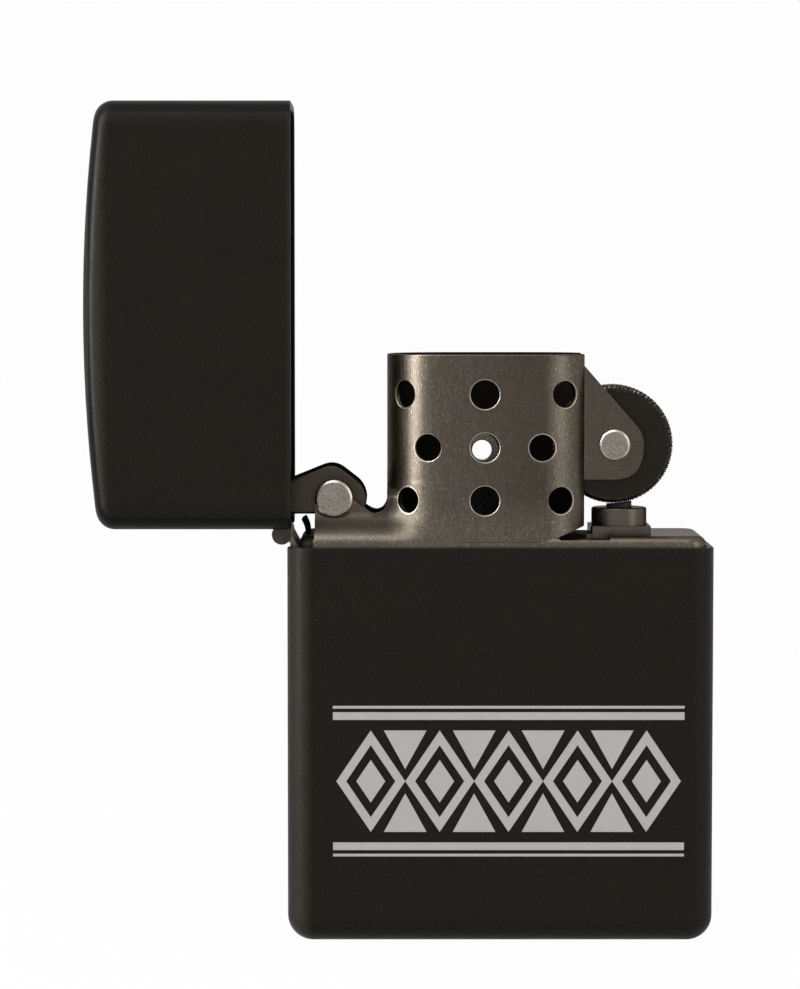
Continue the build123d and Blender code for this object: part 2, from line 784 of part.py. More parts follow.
# The felt that closes the tank's open bottom, cut away round the flint tube.
with BuildPart() as felt_pad:
    with BuildSketch(Plane.XY.offset(felt_bottom)):
        with Locations(((insert_left + insert_right) / 2, 0)):
            RectangleRounded(
                insert_right - insert_left - 2 * (insert_wall + felt_gap),
                2 * (insert_half_depth - insert_wall - felt_gap),
                insert_corner_radius - insert_wall,
            )
        with Locations((flint_x, 0)):
            Circle(screw_head_radius + felt_gap, mode=Mode.SUBTRACT)
    extrude(amount=felt_thickness)
finish_piece(felt_pad, "felt_pad")
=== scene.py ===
import bpy
import numpy as np
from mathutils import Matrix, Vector


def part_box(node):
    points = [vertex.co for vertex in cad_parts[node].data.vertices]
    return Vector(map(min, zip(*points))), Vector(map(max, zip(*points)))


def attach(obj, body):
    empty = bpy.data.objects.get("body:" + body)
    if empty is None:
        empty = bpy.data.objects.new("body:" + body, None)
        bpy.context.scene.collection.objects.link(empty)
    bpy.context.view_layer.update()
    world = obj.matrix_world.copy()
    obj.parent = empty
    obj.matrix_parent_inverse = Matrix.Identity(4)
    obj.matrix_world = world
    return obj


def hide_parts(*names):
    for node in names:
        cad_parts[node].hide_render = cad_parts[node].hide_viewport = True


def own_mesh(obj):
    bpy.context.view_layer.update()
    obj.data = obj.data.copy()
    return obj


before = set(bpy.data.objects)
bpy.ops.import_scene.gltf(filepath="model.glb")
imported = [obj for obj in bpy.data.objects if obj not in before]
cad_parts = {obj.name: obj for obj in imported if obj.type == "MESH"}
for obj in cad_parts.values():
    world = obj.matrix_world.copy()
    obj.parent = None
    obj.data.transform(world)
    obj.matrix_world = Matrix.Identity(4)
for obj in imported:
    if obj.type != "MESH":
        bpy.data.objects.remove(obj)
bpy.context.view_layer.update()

mm = 0.001

# --------------------------------------------------
# The table and its light. The lighter stands on a pale paper sweep, between
# two tall soft boxes, with a third one hung in front of it, overhead. A strip
# beside the left box shows only in the metal, as the streak on the chimney.
camera_distance = 300 * mm
camera_rise = np.radians(3.6)
camera_target = Vector((-9.07 * mm, 0, 40.24 * mm))
sensor_height = 36
height_over_focal = 989 / 3280

scene = bpy.context.scene
scene.view_settings.view_transform = "Standard"
camera_data = bpy.data.cameras.new("camera")
camera_data.sensor_fit = "VERTICAL"
camera_data.sensor_height = sensor_height
camera_data.lens = sensor_height / height_over_focal
camera_data.clip_start = 0.01
camera = bpy.data.objects.new("camera", camera_data)
camera.location = camera_target + camera_distance * Vector(
    (0, -np.cos(camera_rise), np.sin(camera_rise))
)
camera.rotation_euler = (np.pi / 2 - camera_rise, 0, 0)
scene.collection.objects.link(camera)
scene.camera = camera


def points_of(*coordinates):
    """An array of points from the arrays of their coordinates, each spread to the same
    shape."""
    return np.stack(np.broadcast_arrays(*coordinates), axis=-1)


def full_turn(steps):
    """Angles once round a circle."""
    return np.linspace(0, 2 * np.pi, steps, endpoint=False)


def grid_faces(rows, columns, rows_close=False, columns_close=False):
    """Quads between the points of a grid that is numbered row by row. A direction that
    closes joins its last line of points to its first."""
    row, column = np.meshgrid(
        np.arange(rows if rows_close else rows - 1),
        np.arange(columns if columns_close else columns - 1),
        indexing="ij",
    )
    next_row = (row + 1) % rows
    next_column = (column + 1) % columns
    first, after = row * columns, next_row * columns
    corners = (first + column, first + next_column, after + next_column, after + column)
    return points_of(*corners).reshape(-1, 4)


def shade_smooth(mesh, sharp_angle):
    """Smooth shading, but for edges that turn by more than the sharp angle, in degrees."""
    mesh.polygons.foreach_set("use_smooth", np.ones(len(mesh.polygons), dtype=bool))
    mesh.set_sharp_from_angle(angle=np.radians(sharp_angle))


def make_piece(name, points, faces, sharp_angle=40):
    """A smooth-shaded mesh object at the origin, from an array of points and a list of
    faces."""
    mesh = bpy.data.meshes.new(name)
    mesh.from_pydata(np.asarray(points).reshape(-1, 3).tolist(), [], [list(f) for f in faces])
    mesh.update()
    shade_smooth(mesh, sharp_angle)
    piece = bpy.data.objects.new(name, mesh)
    scene.collection.objects.link(piece)
    return piece


class Finish:
    """A node material in the making. Its calls add the patterns that metals, coats and
    fibres are made of, all in Object coordinates, and join them to the shader."""

    def __init__(self, name, **shader_values):
        self.material = bpy.data.materials.new(name)
        self.material.use_nodes = True
        self.tree = self.material.node_tree
        self.shader = self.tree.nodes["Principled BSDF"]
        self.place = self.add("ShaderNodeTexCoord").outputs["Object"]
        for socket, value in shader_values.items():
            self.shader.inputs[socket.replace("_", " ")].default_value = value

    def add(self, kind, **settings):
        """A new node with these settings."""
        node = self.tree.nodes.new(kind)
        for key, value in settings.items():
            setattr(node, key, value)
        return node

    def join(self, source, target):
        """Links a socket, or sets a number or a colour on the target."""
        if isinstance(source, (int, float)):
            target.default_value = source
        elif isinstance(source, tuple):
            target.default_value = (*source, 1)
        else:
            self.tree.links.new(source, target)

    def noise(self, size, stretch=(1, 1, 1), detail=4.0, harshness=0.55):
        """Cloudy noise from 0 to 1 with patches about size wide, drawn out by stretch."""
        place = self.add("ShaderNodeMapping")
        place.inputs["Scale"].default_value = tuple(1 / (size * length) for length in stretch)
        self.join(self.place, place.inputs["Vector"])
        node = self.add("ShaderNodeTexNoise")
        node.inputs["Scale"].default_value = 1.0
        node.inputs["Detail"].default_value = detail
        node.inputs["Roughness"].default_value = harshness
        self.join(place.outputs["Vector"], node.inputs["Vector"])
        return node.outputs["Fac"]

    def scaled(self, value, low, high, to_low=0.0, to_high=1.0):
        """A value carried from the range low to high into another one, and held there."""
        node = self.add("ShaderNodeMapRange")
        for socket, end in zip(node.inputs[1:5], (low, high, to_low, to_high)):
            socket.default_value = end
        self.join(value, node.inputs["Value"])
        return node.outputs[0]

    def along(self, axis):
        """The Object coordinate along X, Y or Z, in metres."""
        node = self.add("ShaderNodeSeparateXYZ")
        self.join(self.place, node.inputs[0])
        return node.outputs[axis]

    def maths(self, operation, first, *others):
        """A single value changed by an operation, or several joined by it in turn."""
        for other in others or (0.0,):
            node = self.add("ShaderNodeMath", operation=operation)
            self.join(first, node.inputs[0])
            self.join(other, node.inputs[1])
            first = node.outputs[0]
        return first

    def times(self, *values):
        """The product of values."""
        return self.maths("MULTIPLY", *values)

    def largest(self, *values):
        """The largest of values."""
        return self.maths("MAXIMUM", *values)

    def away(self, value, middle):
        """How far a value is from a middle, either way."""
        return self.maths("ABSOLUTE", self.maths("SUBTRACT", value, middle))

    def distance(self, first, second):
        """The long side of a right-angled triangle with these two sides."""
        squares = self.maths("ADD", self.times(first, first), self.times(second, second))
        return self.maths("POWER", squares, 0.5)

    def mixed(self, share, first, second):
        """Two colours mixed by a share from 0 to 1."""
        node = self.add("ShaderNodeMix", data_type="RGBA")
        self.join(share, node.inputs[0])
        self.join(first, node.inputs[6])
        self.join(second, node.inputs[7])
        return node.outputs[2]

    def flecked(self, tone, pattern, low, high, most, colour):
        """A tone that takes up to a share, most, of a colour as a pattern rises."""
        return self.mixed(self.scaled(pattern, low, high, 0, most), tone, colour)

    def colour(self, socket):
        """Sets the base colour."""
        self.join(socket, self.shader.inputs["Base Color"])

    def roughness(self, pattern, smooth, rough, mask=None, change=0.0):
        """Smooth to rough with a pattern, changed by an amount where a mask is 1."""
        value = self.scaled(pattern, 0.3, 0.7, smooth, rough)
        if mask is not None:
            value = self.maths("ADD", value, self.times(mask, change))
        self.join(value, self.shader.inputs["Roughness"])

    def relief(self, *heights):
        """Bumps laid over each other, each a socket and a depth in metres."""
        normal = None
        for value, depth in heights:
            node = self.add("ShaderNodeBump")
            node.inputs["Distance"].default_value = depth
            self.join(value, node.inputs["Height"])
            if normal:
                self.join(normal, node.inputs["Normal"])
            normal = node.outputs["Normal"]
        self.join(normal, self.shader.inputs["Normal"])

    def put_on(self, *names):
        """Gives this finish to CAD nodes, which keep their own shapes."""
        for name in names:
            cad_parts[name].material_slots[0].material = self.material


def seen_directly(tree):
    """1 for a ray from the eye, and for what is seen in metal or through glass, else 0."""
    path = tree.nodes.new("ShaderNodeLightPath")
    total = path.outputs["Is Camera Ray"]
    for ray in ("Is Glossy Ray", "Is Transmission Ray"):
        either = tree.nodes.new("ShaderNodeMath")
        either.operation = "MAXIMUM"
        tree.links.new(total, either.inputs[0])
        tree.links.new(path.outputs[ray], either.inputs[1])
        total = either.outputs[0]
    return total


def paper_sweep(width, front, back, bend, height, steps):
    """A sheet of paper: flat from front to back, then a quarter circle of radius bend, then
    straight up. This profile in Y and Z is carried along X."""
    turn = np.linspace(0, np.pi / 2, steps)
    profile_y = np.concatenate([[-front], back - bend + bend * np.sin(turn), [back]])
    profile_z = np.concatenate([[0], bend * (1 - np.cos(turn)), [height]])
    return points_of([-width / 2, width / 2], profile_y[:, None], profile_z[:, None])


sweep = paper_sweep(width=3.0, front=1.2, back=1.2, bend=0.4, height=2.0, steps=24)
table = make_piece("paper_sweep", sweep, grid_faces(*sweep.shape[:2]))
paper = Finish("pale_paper", Roughness=0.9)
paper_cloud = paper.noise(60 * mm)
paper_fibre = paper.noise(0.8 * mm, detail=6)
paper.colour(paper.mixed(paper_cloud, (0.80, 0.80, 0.79), (0.84, 0.84, 0.84)))
paper.relief((paper_fibre, 0.01 * mm))
paper_glow = paper.add("ShaderNodeEmission")
paper_mix = paper.add("ShaderNodeMixShader")
paper.join(paper.times(seen_directly(paper.tree), 0.97), paper_mix.inputs[0])
paper.join(paper.shader.outputs[0], paper_mix.inputs[1])
paper.join(paper_glow.outputs[0], paper_mix.inputs[2])
paper.join(paper_mix.outputs[0], paper.tree.nodes["Material Output"].inputs["Surface"])
paper_glow.inputs["Strength"].default_value = 1.0
table.data.materials.append(paper.material)

world = bpy.data.worlds.new("studio")
scene.world = world
world.use_nodes = True
sky = world.node_tree.nodes["Background"]
sky.inputs["Color"].default_value = (1, 1, 1, 1)
sky_strength = world.node_tree.nodes.new("ShaderNodeMapRange")
sky_strength.inputs["To Min"].default_value = 0.38
sky_strength.inputs["To Max"].default_value = 1.0
world.node_tree.links.new(seen_directly(world.node_tree), sky_strength.inputs["Value"])
world.node_tree.links.new(sky_strength.outputs[0], sky.inputs["Strength"])


def soft_box(name, place, target, width, height, watts):
    """A rectangular lamp at a place, facing a target."""
    lamp = bpy.data.lights.new(name, "AREA")
    lamp.shape = "RECTANGLE"
    lamp.size = width
    lamp.size_y = height
    lamp.energy = watts
    box = bpy.data.objects.new(name, lamp)
    box.location = place
    box.rotation_euler = (Vector(target) - Vector(place)).to_track_quat("-Z", "Y").to_euler()
    scene.collection.objects.link(box)
    return box


lit_point = (0, 0, 45 * mm)
soft_box("left_box", (-0.56, -0.215, 0.29), lit_point, 0.13, 0.82, 3.4)
left_strip = soft_box("left_strip", (-0.565, -0.217, 0.30), lit_point, 0.14, 0.84, 6.5)
left_strip.visible_diffuse = False
soft_box("right_box", (0.50, -0.34, 0.12), lit_point, 0.26, 0.60, 1.2)
soft_box("top_box", (-0.15, -0.35, 0.70), lit_point, 0.50, 0.40, 2.0)

# --------------------------------------------------
# The case and the lid: two cups drawn from thin brass sheet, with a matt
# black powder coat, rubbed smoother along the upright edges, with a painted
# highlight there, mostly on the left; inside the lid, painted shade near black.
coat = Finish("black_powder_coat", Specular_IOR_Level=0.07)
coat_cloud = coat.noise(6 * mm, stretch=(2.5, 1, 1), detail=5)
coat_grain = coat.noise(0.17 * mm, detail=2)
coat_rub = coat.noise(1.3 * mm, stretch=(2.5, 1, 1), detail=6)
coat_tone = coat.mixed(coat_cloud, (0.0062, 0.0052, 0.0036), (0.0100, 0.0084, 0.0060))
coat_tone = coat.flecked(coat_tone, coat_grain, 0.45, 0.80, 0.5, (0.026, 0.022, 0.016))


def box_corners(node):
    """The low and the high corner of a CAD node's box."""
    return (np.array(corner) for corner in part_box(node))


lid_low, lid_high = box_corners("lid")
case_low, case_high = box_corners("bottom_case")
lid_middle = (lid_low + lid_high) / 2
lid_inner_half = (lid_high - lid_low) / 2 - 0.30 * mm
# Painted shade: inside the lid the coat is painted near black.
lid_inside_shade = coat.times(
    *(
        coat.scaled(coat.away(coat.along(axis), lid_middle[axis]), half, half - 0.1 * mm)
        for axis, half in ((1, lid_inner_half[1]), (2, lid_inner_half[2]))
    ),
    coat.scaled(coat.along(0), lid_low[0] + 0.5 * mm, lid_low[0] + 0.6 * mm),
    coat.scaled(coat.along(0), lid_high[0] + 0.1 * mm, lid_high[0]),
)
# Painted highlight: the coat is painted paler in bands along the upright edges, strongly on the
# left ones and faintly on the case's right one; the same bands are rubbed smoother.
edge_wear_and_highlight = coat.largest(
    *(
        coat.times(
            coat.scaled(coat.along(0), edge + inward * 2.3 * mm, edge + inward * 1.3 * mm),
            coat.scaled(coat.along(0), edge - inward * 0.1 * mm, edge + inward * 0.7 * mm),
            rub_and_highlight,
        )
        for edge, inward, rub_and_highlight in (
            (lid_low[0], 1, 0.75), (case_low[0], 1, 0.70), (case_high[0], -1, 0.12)
        )
    )
)
edge_highlight_tone = coat.mixed(coat_grain, (0.012, 0.010, 0.008), (0.060, 0.052, 0.041))
coat_tone = coat.mixed(edge_wear_and_highlight, coat_tone, edge_highlight_tone)
coat.colour(coat.mixed(lid_inside_shade, coat_tone, (0.0030, 0.0027, 0.0022)))
coat.roughness(coat_rub, 0.40, 0.54, edge_wear_and_highlight, -0.16)
coat.relief((coat_rub, 0.012 * mm), (coat_grain, 0.014 * mm))
coat.put_on("bottom_case", "lid")

# --------------------------------------------------
# The printed band on the case's front: pale grey screen print on the coat,
# five lozenges with a small one in each, triangles between, and two rails.
print_middle = (0.7 * mm, 14.8 * mm)
print_thickness = 0.012 * mm
lozenge_count = 5
lozenge_pitch = 6.2 * mm
lozenge_half = np.array([3.1, 4.6]) * mm
lozenge_stroke = 0.75 * mm
stroke_shares = np.array([1.19, 1.78])
seed_share = 0.42
triangle_tip = 1.1 * mm
triangle_share = 0.62
rail_half_length = 15.8 * mm
rails = ((5.90 * mm, 0.70 * mm), (6.70 * mm, 0.25 * mm))


def flat_print(outlines):
    """Thin prisms from a list of closed outlines in X and Z, all with the same count of
    points: each outline stands once on the coat and once raised by the ink's thickness, a
    wall joins the two, and both are capped."""
    outlines = np.asarray(outlines)[:, None]
    count, _, corners, _ = outlines.shape
    depths = np.array([[case_low[1] - print_thickness], [case_low[1]]])
    points = points_of(outlines[..., 0], depths, outlines[..., 1])
    first = np.arange(count)[:, None] * 2 * corners
    ring = np.arange(corners)
    ring_next = (ring + 1) % corners
    walls = points_of(ring, ring + corners, ring_next + corners, ring_next)
    walls = (first[..., None] + walls[None]).reshape(-1, 4)
    fronts = first + ring
    backs = first + corners + ring[::-1]
    return points.reshape(-1, 3), [*walls.tolist(), *fronts.tolist(), *backs.tolist()]


corner_signs = np.array([[1, 0], [0, 1], [-1, 0], [0, -1]])
lozenge_steps = np.arange(lozenge_count) - (lozenge_count - 1) / 2
lozenge_middles = np.array(print_middle) + lozenge_steps[:, None] * (lozenge_pitch, 0)
shapes = []
for middle in lozenge_middles:
    outer = middle + corner_signs * lozenge_half
    inner = middle + corner_signs * (lozenge_half - lozenge_stroke * stroke_shares)
    for side in range(4):
        after = (side + 1) % 4
        shapes.append([outer[side], outer[after], inner[after], inner[side]])
    shapes.append(middle + corner_signs * lozenge_half * seed_share)
for middle in (lozenge_middles[:-1] + lozenge_middles[1:]) / 2:
    for side in (-1, 1):
        tip = middle + (0, side * triangle_tip)
        base = middle + (0, side * lozenge_half[1])
        half_base = (lozenge_half[0] * triangle_share, 0)
        shapes.append([tip, base + half_base, base, base - half_base][::side])
for height, width in rails:
    for side in (-1, 1):
        low, high = sorted((side * height - width / 2, side * height + width / 2))
        left, right = -rail_half_length, rail_half_length
        corners = np.array([[left, low], [right, low], [right, high], [left, high]])
        shapes.append(corners + print_middle)
band = make_piece("printed_band", *flat_print(shapes))
ink = Finish("pale_grey_ink", Specular_IOR_Level=0.25)
ink_cloud = ink.noise(3 * mm, detail=5)
ink_speck = ink.noise(0.12 * mm, detail=2)
ink_tone = ink.mixed(ink_cloud, (0.385, 0.375, 0.365), (0.435, 0.425, 0.415))
ink.colour(ink.flecked(ink_tone, ink_speck, 0.62, 0.80, 0.6, (0.22, 0.21, 0.20)))
ink.roughness(ink_cloud, 0.50, 0.65)
ink.relief((ink_speck, 0.01 * mm))
band.data.materials.append(ink.material)
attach(band, "case")

# --------------------------------------------------
# The hinge: two steel leaves fixed inside the walls, their five knuckles
# turning on one pin, whose ends are peened to low domes over the barrel.
barrel_head_radius = 0.87 * mm
barrel_head_height = 0.10 * mm

hinge = Finish("hinge_steel", Metallic=1.0, Specular_Tint=(0.25, 0.23, 0.20, 1))
hinge_cloud = hinge.noise(0.9 * mm, detail=5)
hinge_scratch = hinge.noise(0.08 * mm, stretch=(1, 12, 1), detail=3)
hinge_tone = hinge.mixed(hinge_cloud, (0.060, 0.052, 0.043), (0.150, 0.134, 0.114))
hinge.colour(hinge.flecked(hinge_tone, hinge_scratch, 0.5, 0.8, 0.4, (0.22, 0.20, 0.17)))
hinge.roughness(hinge_cloud, 0.28, 0.46)
hinge.relief((hinge_scratch, 0.006 * mm), (hinge_cloud, 0.015 * mm))
hinge.put_on("case_hinge_leaf", "lid_hinge_leaf")


def tube_faces(rows, around, first=0):
    """The faces of a tube of rows of points, numbered from first, whose ends are closed by
    fans about two more points that follow the rows."""
    ring = np.arange(around)
    ring_next = (ring + 1) % around
    last = (rows - 1) * around
    pole = np.full(around, rows * around)
    fans = [
        points_of(ring_next, ring, pole),
        points_of(last + ring, last + ring_next, pole + 1),
    ]
    tube = grid_faces(rows, around, columns_close=True)
    return (first + tube).tolist() + (first + np.concatenate(fans)).tolist()


def turned(profile, middle, steps):
    """A shape turned about a line through the middle along Y. The profile is a list of
    (radius, place along Y) that runs from the far end to the near one; its first and last
    points lie on the line, and each of the others is carried round a circle."""
    profile = np.asarray(profile, dtype=float)
    turn = full_turn(steps)
    radius, y = profile[1:-1, None, 0], profile[1:-1, None, 1]
    rings = points_of(middle[0] + radius * np.cos(turn), y, middle[2] + radius * np.sin(turn))
    poles = [[middle[0], profile[end, 1], middle[2]] for end in (0, -1)]
    return np.concatenate([rings.reshape(-1, 3), poles]), tube_faces(len(rings), steps)


def domed_head(radius, low, high, rim, crown, rings=9):
    """Half the profile of a rivet's head, from its middle out: a face that rises by crown
    from its edge to its middle as a parabola, a quarter circle of radius rim, and the wall
    down to low. Heights run from low, at the sheet, to high, at the middle."""
    out = np.linspace(0, 1, rings)
    face = points_of(out * (radius - rim), high - crown * out**2)
    turn = np.linspace(0, np.pi / 2, rings)[1:]
    corner = points_of(radius - rim + rim * np.sin(turn), high - crown - rim * (1 - np.cos(turn)))
    return np.concatenate([face, corner, [[radius, low]]])


def pinned(head, shank_radius, middle, steps=96):
    """A pin with the same head at both ends: the head's profile at the far side, a shank, and
    the head mirrored at the near side."""
    shank = [[shank_radius, head[-1, 1]], [shank_radius, -head[-1, 1]]]
    return turned(np.concatenate([head, shank, head[::-1] * (1, -1)]), middle, steps)


def box_middle(node):
    """The middle of a CAD node's box."""
    low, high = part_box(node)
    return (Vector(low) + Vector(high)) / 2


pin_low, pin_high = box_corners("hinge_pin")
pin_head = domed_head(
    barrel_head_radius, pin_high[1], pin_high[1] + barrel_head_height, 0.03 * mm, 0.07 * mm
)
pin_shank_radius = (pin_high - pin_low)[2] / 2
pin = make_piece("peened_hinge_pin", *pinned(pin_head, pin_shank_radius, box_middle("hinge_pin")))
pin_steel = Finish("peened_pin_steel", Metallic=1.0, Specular_Tint=(0.30, 0.28, 0.26, 1))
pin_cloud = pin_steel.noise(0.5 * mm, detail=5)
pin_dent = pin_steel.noise(0.12 * mm, detail=2)
pin_steel.colour(pin_steel.mixed(pin_cloud, (0.020, 0.018, 0.015), (0.070, 0.062, 0.051)))
pin_steel.roughness(pin_cloud, 0.32, 0.5)
pin_steel.relief((pin_dent, 0.008 * mm), (pin_cloud, 0.03 * mm))
pin.data.materials.append(pin_steel.material)
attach(pin, "case")
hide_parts("hinge_pin")

# --------------------------------------------------
# The insert: one folded stainless sheet with tank, deck, chimney and ears. Its
# sides are brushed up and down, and soot and fuel have browned it.
steel = Finish("brushed_insert_steel", Metallic=1.0, Specular_Tint=(0.40, 0.385, 0.365, 1))
steel_streak = steel.noise(0.09 * mm, stretch=(1, 1, 30), detail=3)
steel_speck = steel.noise(0.11 * mm, stretch=(1, 1, 2.5), detail=2)
steel_cloud = steel.noise(4 * mm, stretch=(1, 1, 2), detail=5)
steel_tone = steel.mixed(steel_streak, (0.060, 0.050, 0.038), (0.120, 0.102, 0.081))
steel_tone = steel.flecked(steel_tone, steel_cloud, 0.40, 0.65, 0.35, (0.055, 0.045, 0.033))
steel_tone = steel.flecked(steel_tone, steel_speck, 0.52, 0.75, 0.65, (0.22, 0.195, 0.165))
steel_x, steel_y, steel_z = (steel.along(axis) for axis in range(3))

# Painted shade: the flat of the chimney is darkened more and more towards the wheel, and the
# wheel's ears beyond it, where the light falls off to the right.
towards_wheel = steel.scaled(steel_x, -7.0 * mm, 2.0 * mm, 0.10, 0.65)
on_flat = steel.scaled(steel_x, 4.6 * mm, 3.9 * mm)
shaded_flat = steel.times(towards_wheel, on_flat)
shaded_ears = steel.scaled(steel_x, 7.5 * mm, 7.8 * mm, 0, 0.45)
above_deck = steel.scaled(steel_z, 37.5 * mm, 40.5 * mm)
painted_falloff_shade = steel.times(steel.largest(shaded_flat, shaded_ears), above_deck)
steel_tone = steel.mixed(painted_falloff_shade, steel_tone, (0.045, 0.038, 0.029))

# Soot blackens the sheet inside the chimney's own plan, a flat-sided oval, found by its
# distance from the oval's middle line. Between the cam's ears and in the bare corner beside
# them it is painted near black as shade, and painted shade darkens the hollow of the drawn skirt.
oval_middle_x = -0.67 * mm
oval_flat_half = 3.77 * mm
past_flat = steel.maths("SUBTRACT", steel.away(steel_x, oval_middle_x), oval_flat_half)
oval_distance = steel.distance(steel.largest(past_flat, 0.0), steel_y)
soot = steel.scaled(oval_distance, 5.50 * mm, 5.38 * mm)
corner_painted_shade = steel.scaled(steel_x, -16.80 * mm, -16.90 * mm)
between_ears = steel.times(
    steel.scaled(steel.maths("ABSOLUTE", steel_y), 3.04 * mm, 2.94 * mm),
    steel.scaled(steel_x, -9.90 * mm, -10.15 * mm),
    steel.scaled(steel_z, 40.5 * mm, 40.2 * mm),
)
# Painted shade in the skirt's hollow, its share carried on the skirt's points.
hollow_painted_shade = steel.add("ShaderNodeAttribute", attribute_name="hollow_painted_shade").outputs["Fac"]
hollow_painted_shade = steel.times(hollow_painted_shade, steel.scaled(steel_cloud, 0.2, 0.5, 0.55, 0.80))
steel_tone = steel.mixed(hollow_painted_shade, steel_tone, (0.022, 0.019, 0.015))

# Painted highlights on the punched holes: a bright ring round each front hole's middle, drawn
# narrower where the sheet turns away, and painted light on a wider ring round the hole at the rear.
hole_middle_x = -1.45 * mm
hole_row_pitch = 4.77 * mm
rear_hole_drop = 0.70 * mm
top_hole_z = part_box("insert_shell")[1][2] - 3.6 * mm
rings = []
for row, spread in enumerate((7.25 * mm, 5.15 * mm, 6.90 * mm)):
    for column, radius, flat_end, bend_radius in (
        (-1, 1.245 * mm, 2.99 * mm, 5.8 * mm),
        (0, 1.345 * mm, 2.99 * mm, 5.8 * mm),
        (1, 1.245 * mm, 4.55 * mm, 5.2 * mm),
    ):
        lean = np.arcsin(max(spread * abs(column) - flat_end, 0) / bend_radius)
        from_x = steel.away(steel_x, hole_middle_x + column * spread)
        from_z = steel.away(steel_z, top_hole_z - row * hole_row_pitch)
        from_middle = steel.distance(steel.times(from_x, 1 / np.cos(lean)), from_z)
        rings.append(steel.scaled(steel.away(from_middle, radius), 0.075 * mm, 0.02 * mm))
front_hole_highlights = steel.times(steel.largest(*rings), steel.scaled(steel_y, -1.0 * mm, -2.0 * mm))
from_rear_hole = steel.distance(
    steel.away(steel_x, hole_middle_x),
    steel.away(steel_z, top_hole_z - hole_row_pitch - rear_hole_drop),
)
rear_hole_painted_light = steel.times(
    steel.scaled(from_rear_hole, 1.60 * mm, 1.50 * mm),
    steel.scaled(steel_y, 4.0 * mm, 4.5 * mm),
)
# Soot inside the chimney, with painted shade between the ears and in the corner beside them.
soot_and_painted_shade = steel.times(
    steel.largest(soot, corner_painted_shade, between_ears), steel.scaled(rear_hole_painted_light, 0.0, 1.0, 1.0, 0.0)
)
hole_highlights = steel.times(steel.largest(front_hole_highlights, rear_hole_painted_light), 0.6)
steel_tone = steel.mixed(hole_highlights, steel_tone, (0.46, 0.42, 0.35))
black_tone = steel.mixed(steel_cloud, (0.006, 0.0055, 0.005), (0.014, 0.012, 0.010))
steel.colour(steel.mixed(soot_and_painted_shade, steel_tone, black_tone))
steel.roughness(steel_streak, 0.27, 0.37, steel.largest(soot_and_painted_shade, hollow_painted_shade), 0.28)
steel.relief((steel_streak, 0.004 * mm), (steel_speck, 0.007 * mm))
steel.put_on("insert_shell")

# --------------------------------------------------
# The drawn skirts, front and back, where the insert's sheet is pressed from
# the tank's face in to the cam's ear and round into the chimney's closed end.
shell_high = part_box("insert_shell")[1]
rivet_x, _, rivet_z = box_middle("cam_rivet")
deck_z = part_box("flint_plate")[0][2]
half_depth = shell_high[1]
chimney_left = rivet_x + 4.81 * mm
round_middle_x = chimney_left + half_depth
skirt_left = rivet_x - 1.72 * mm
skirt_right = rivet_x + 11.6 * mm
skirt_bottom = deck_z - 1.4 * mm
skirt_top = deck_z + 5.7 * mm
ear_inset = 2.40 * mm
ear_top = deck_z + 3.3 * mm
ear_ease = 1.2 * mm
bend_start = deck_z - 0.89 * mm
bend_height = 2.55 * mm
corner_ease = 0.6
valley_x, valley_z = rivet_x + 3.85 * mm, deck_z + 1.95 * mm
valley_softness = 0.5 * mm
valley_slope = 0.80
valley_rise = 1.3 * mm
sheet = 0.45 * mm
proud = 0.02 * mm


def smooth_step(value):
    """0 below 0, 1 above 1, and 3t² - 2t³ between."""
    t = np.clip(value, 0, 1)
    return t * t * (3 - 2 * t)


def round_depth(aside):
    """How far a half round of the chimney's radius falls back, at a distance aside."""
    aside = np.clip(aside, 0, half_depth)
    return half_depth - np.sqrt(half_depth**2 - aside**2)


def eased_smaller(first, second, reach):
    """The smaller of two values; where they are closer than reach, a parabola eases them
    together."""
    near = np.clip(1 - np.abs(first - second) / reach, 0, 1)
    return np.minimum(first, second) - near**2 * reach / 4


def skirt_form(x, z):
    """How far the skirt lies behind the tank's face, and how much painted shade it takes there.
    One share grows with height through the bend above the deck, another to the left round the
    chimney. The smaller counts, and the two are eased together, which rounds the corner of the L.
    The depth is that of the chimney's half round, eased into the ear's plane, which it reaches at
    a share of 1; above the ear it goes on to the chimney's end. Painted shade lies beyond a share
    of a half and beside the chimney, and thins out above the ear."""
    above_ear = smooth_step((z - ear_top) / (2.2 * mm))
    limit = ear_inset + (half_depth - ear_inset + ear_ease) * above_ear
    aside = np.minimum(round_middle_x - x, 0.992 * half_depth)
    fillet_end = np.sqrt(half_depth**2 - (half_depth - ear_inset - ear_ease) ** 2)
    share = eased_smaller(aside / fillet_end, (z - bend_start) / bend_height, corner_ease)
    depth = eased_smaller(round_depth(share * fillet_end), limit, ear_ease)
    hollow = 0.6 * smooth_step((share - 0.45) / 0.25) * smooth_step((1.25 - share) / 0.4)
    beside_chimney = smooth_step((x - (valley_x - 1.6 * mm)) / (1.6 * mm))
    hollow = np.maximum(hollow, smooth_step((share - 0.72) / 0.2) * beside_chimney)
    return depth, hollow * smooth_step((ear_top + 1.8 * mm - z) / (2.6 * mm))


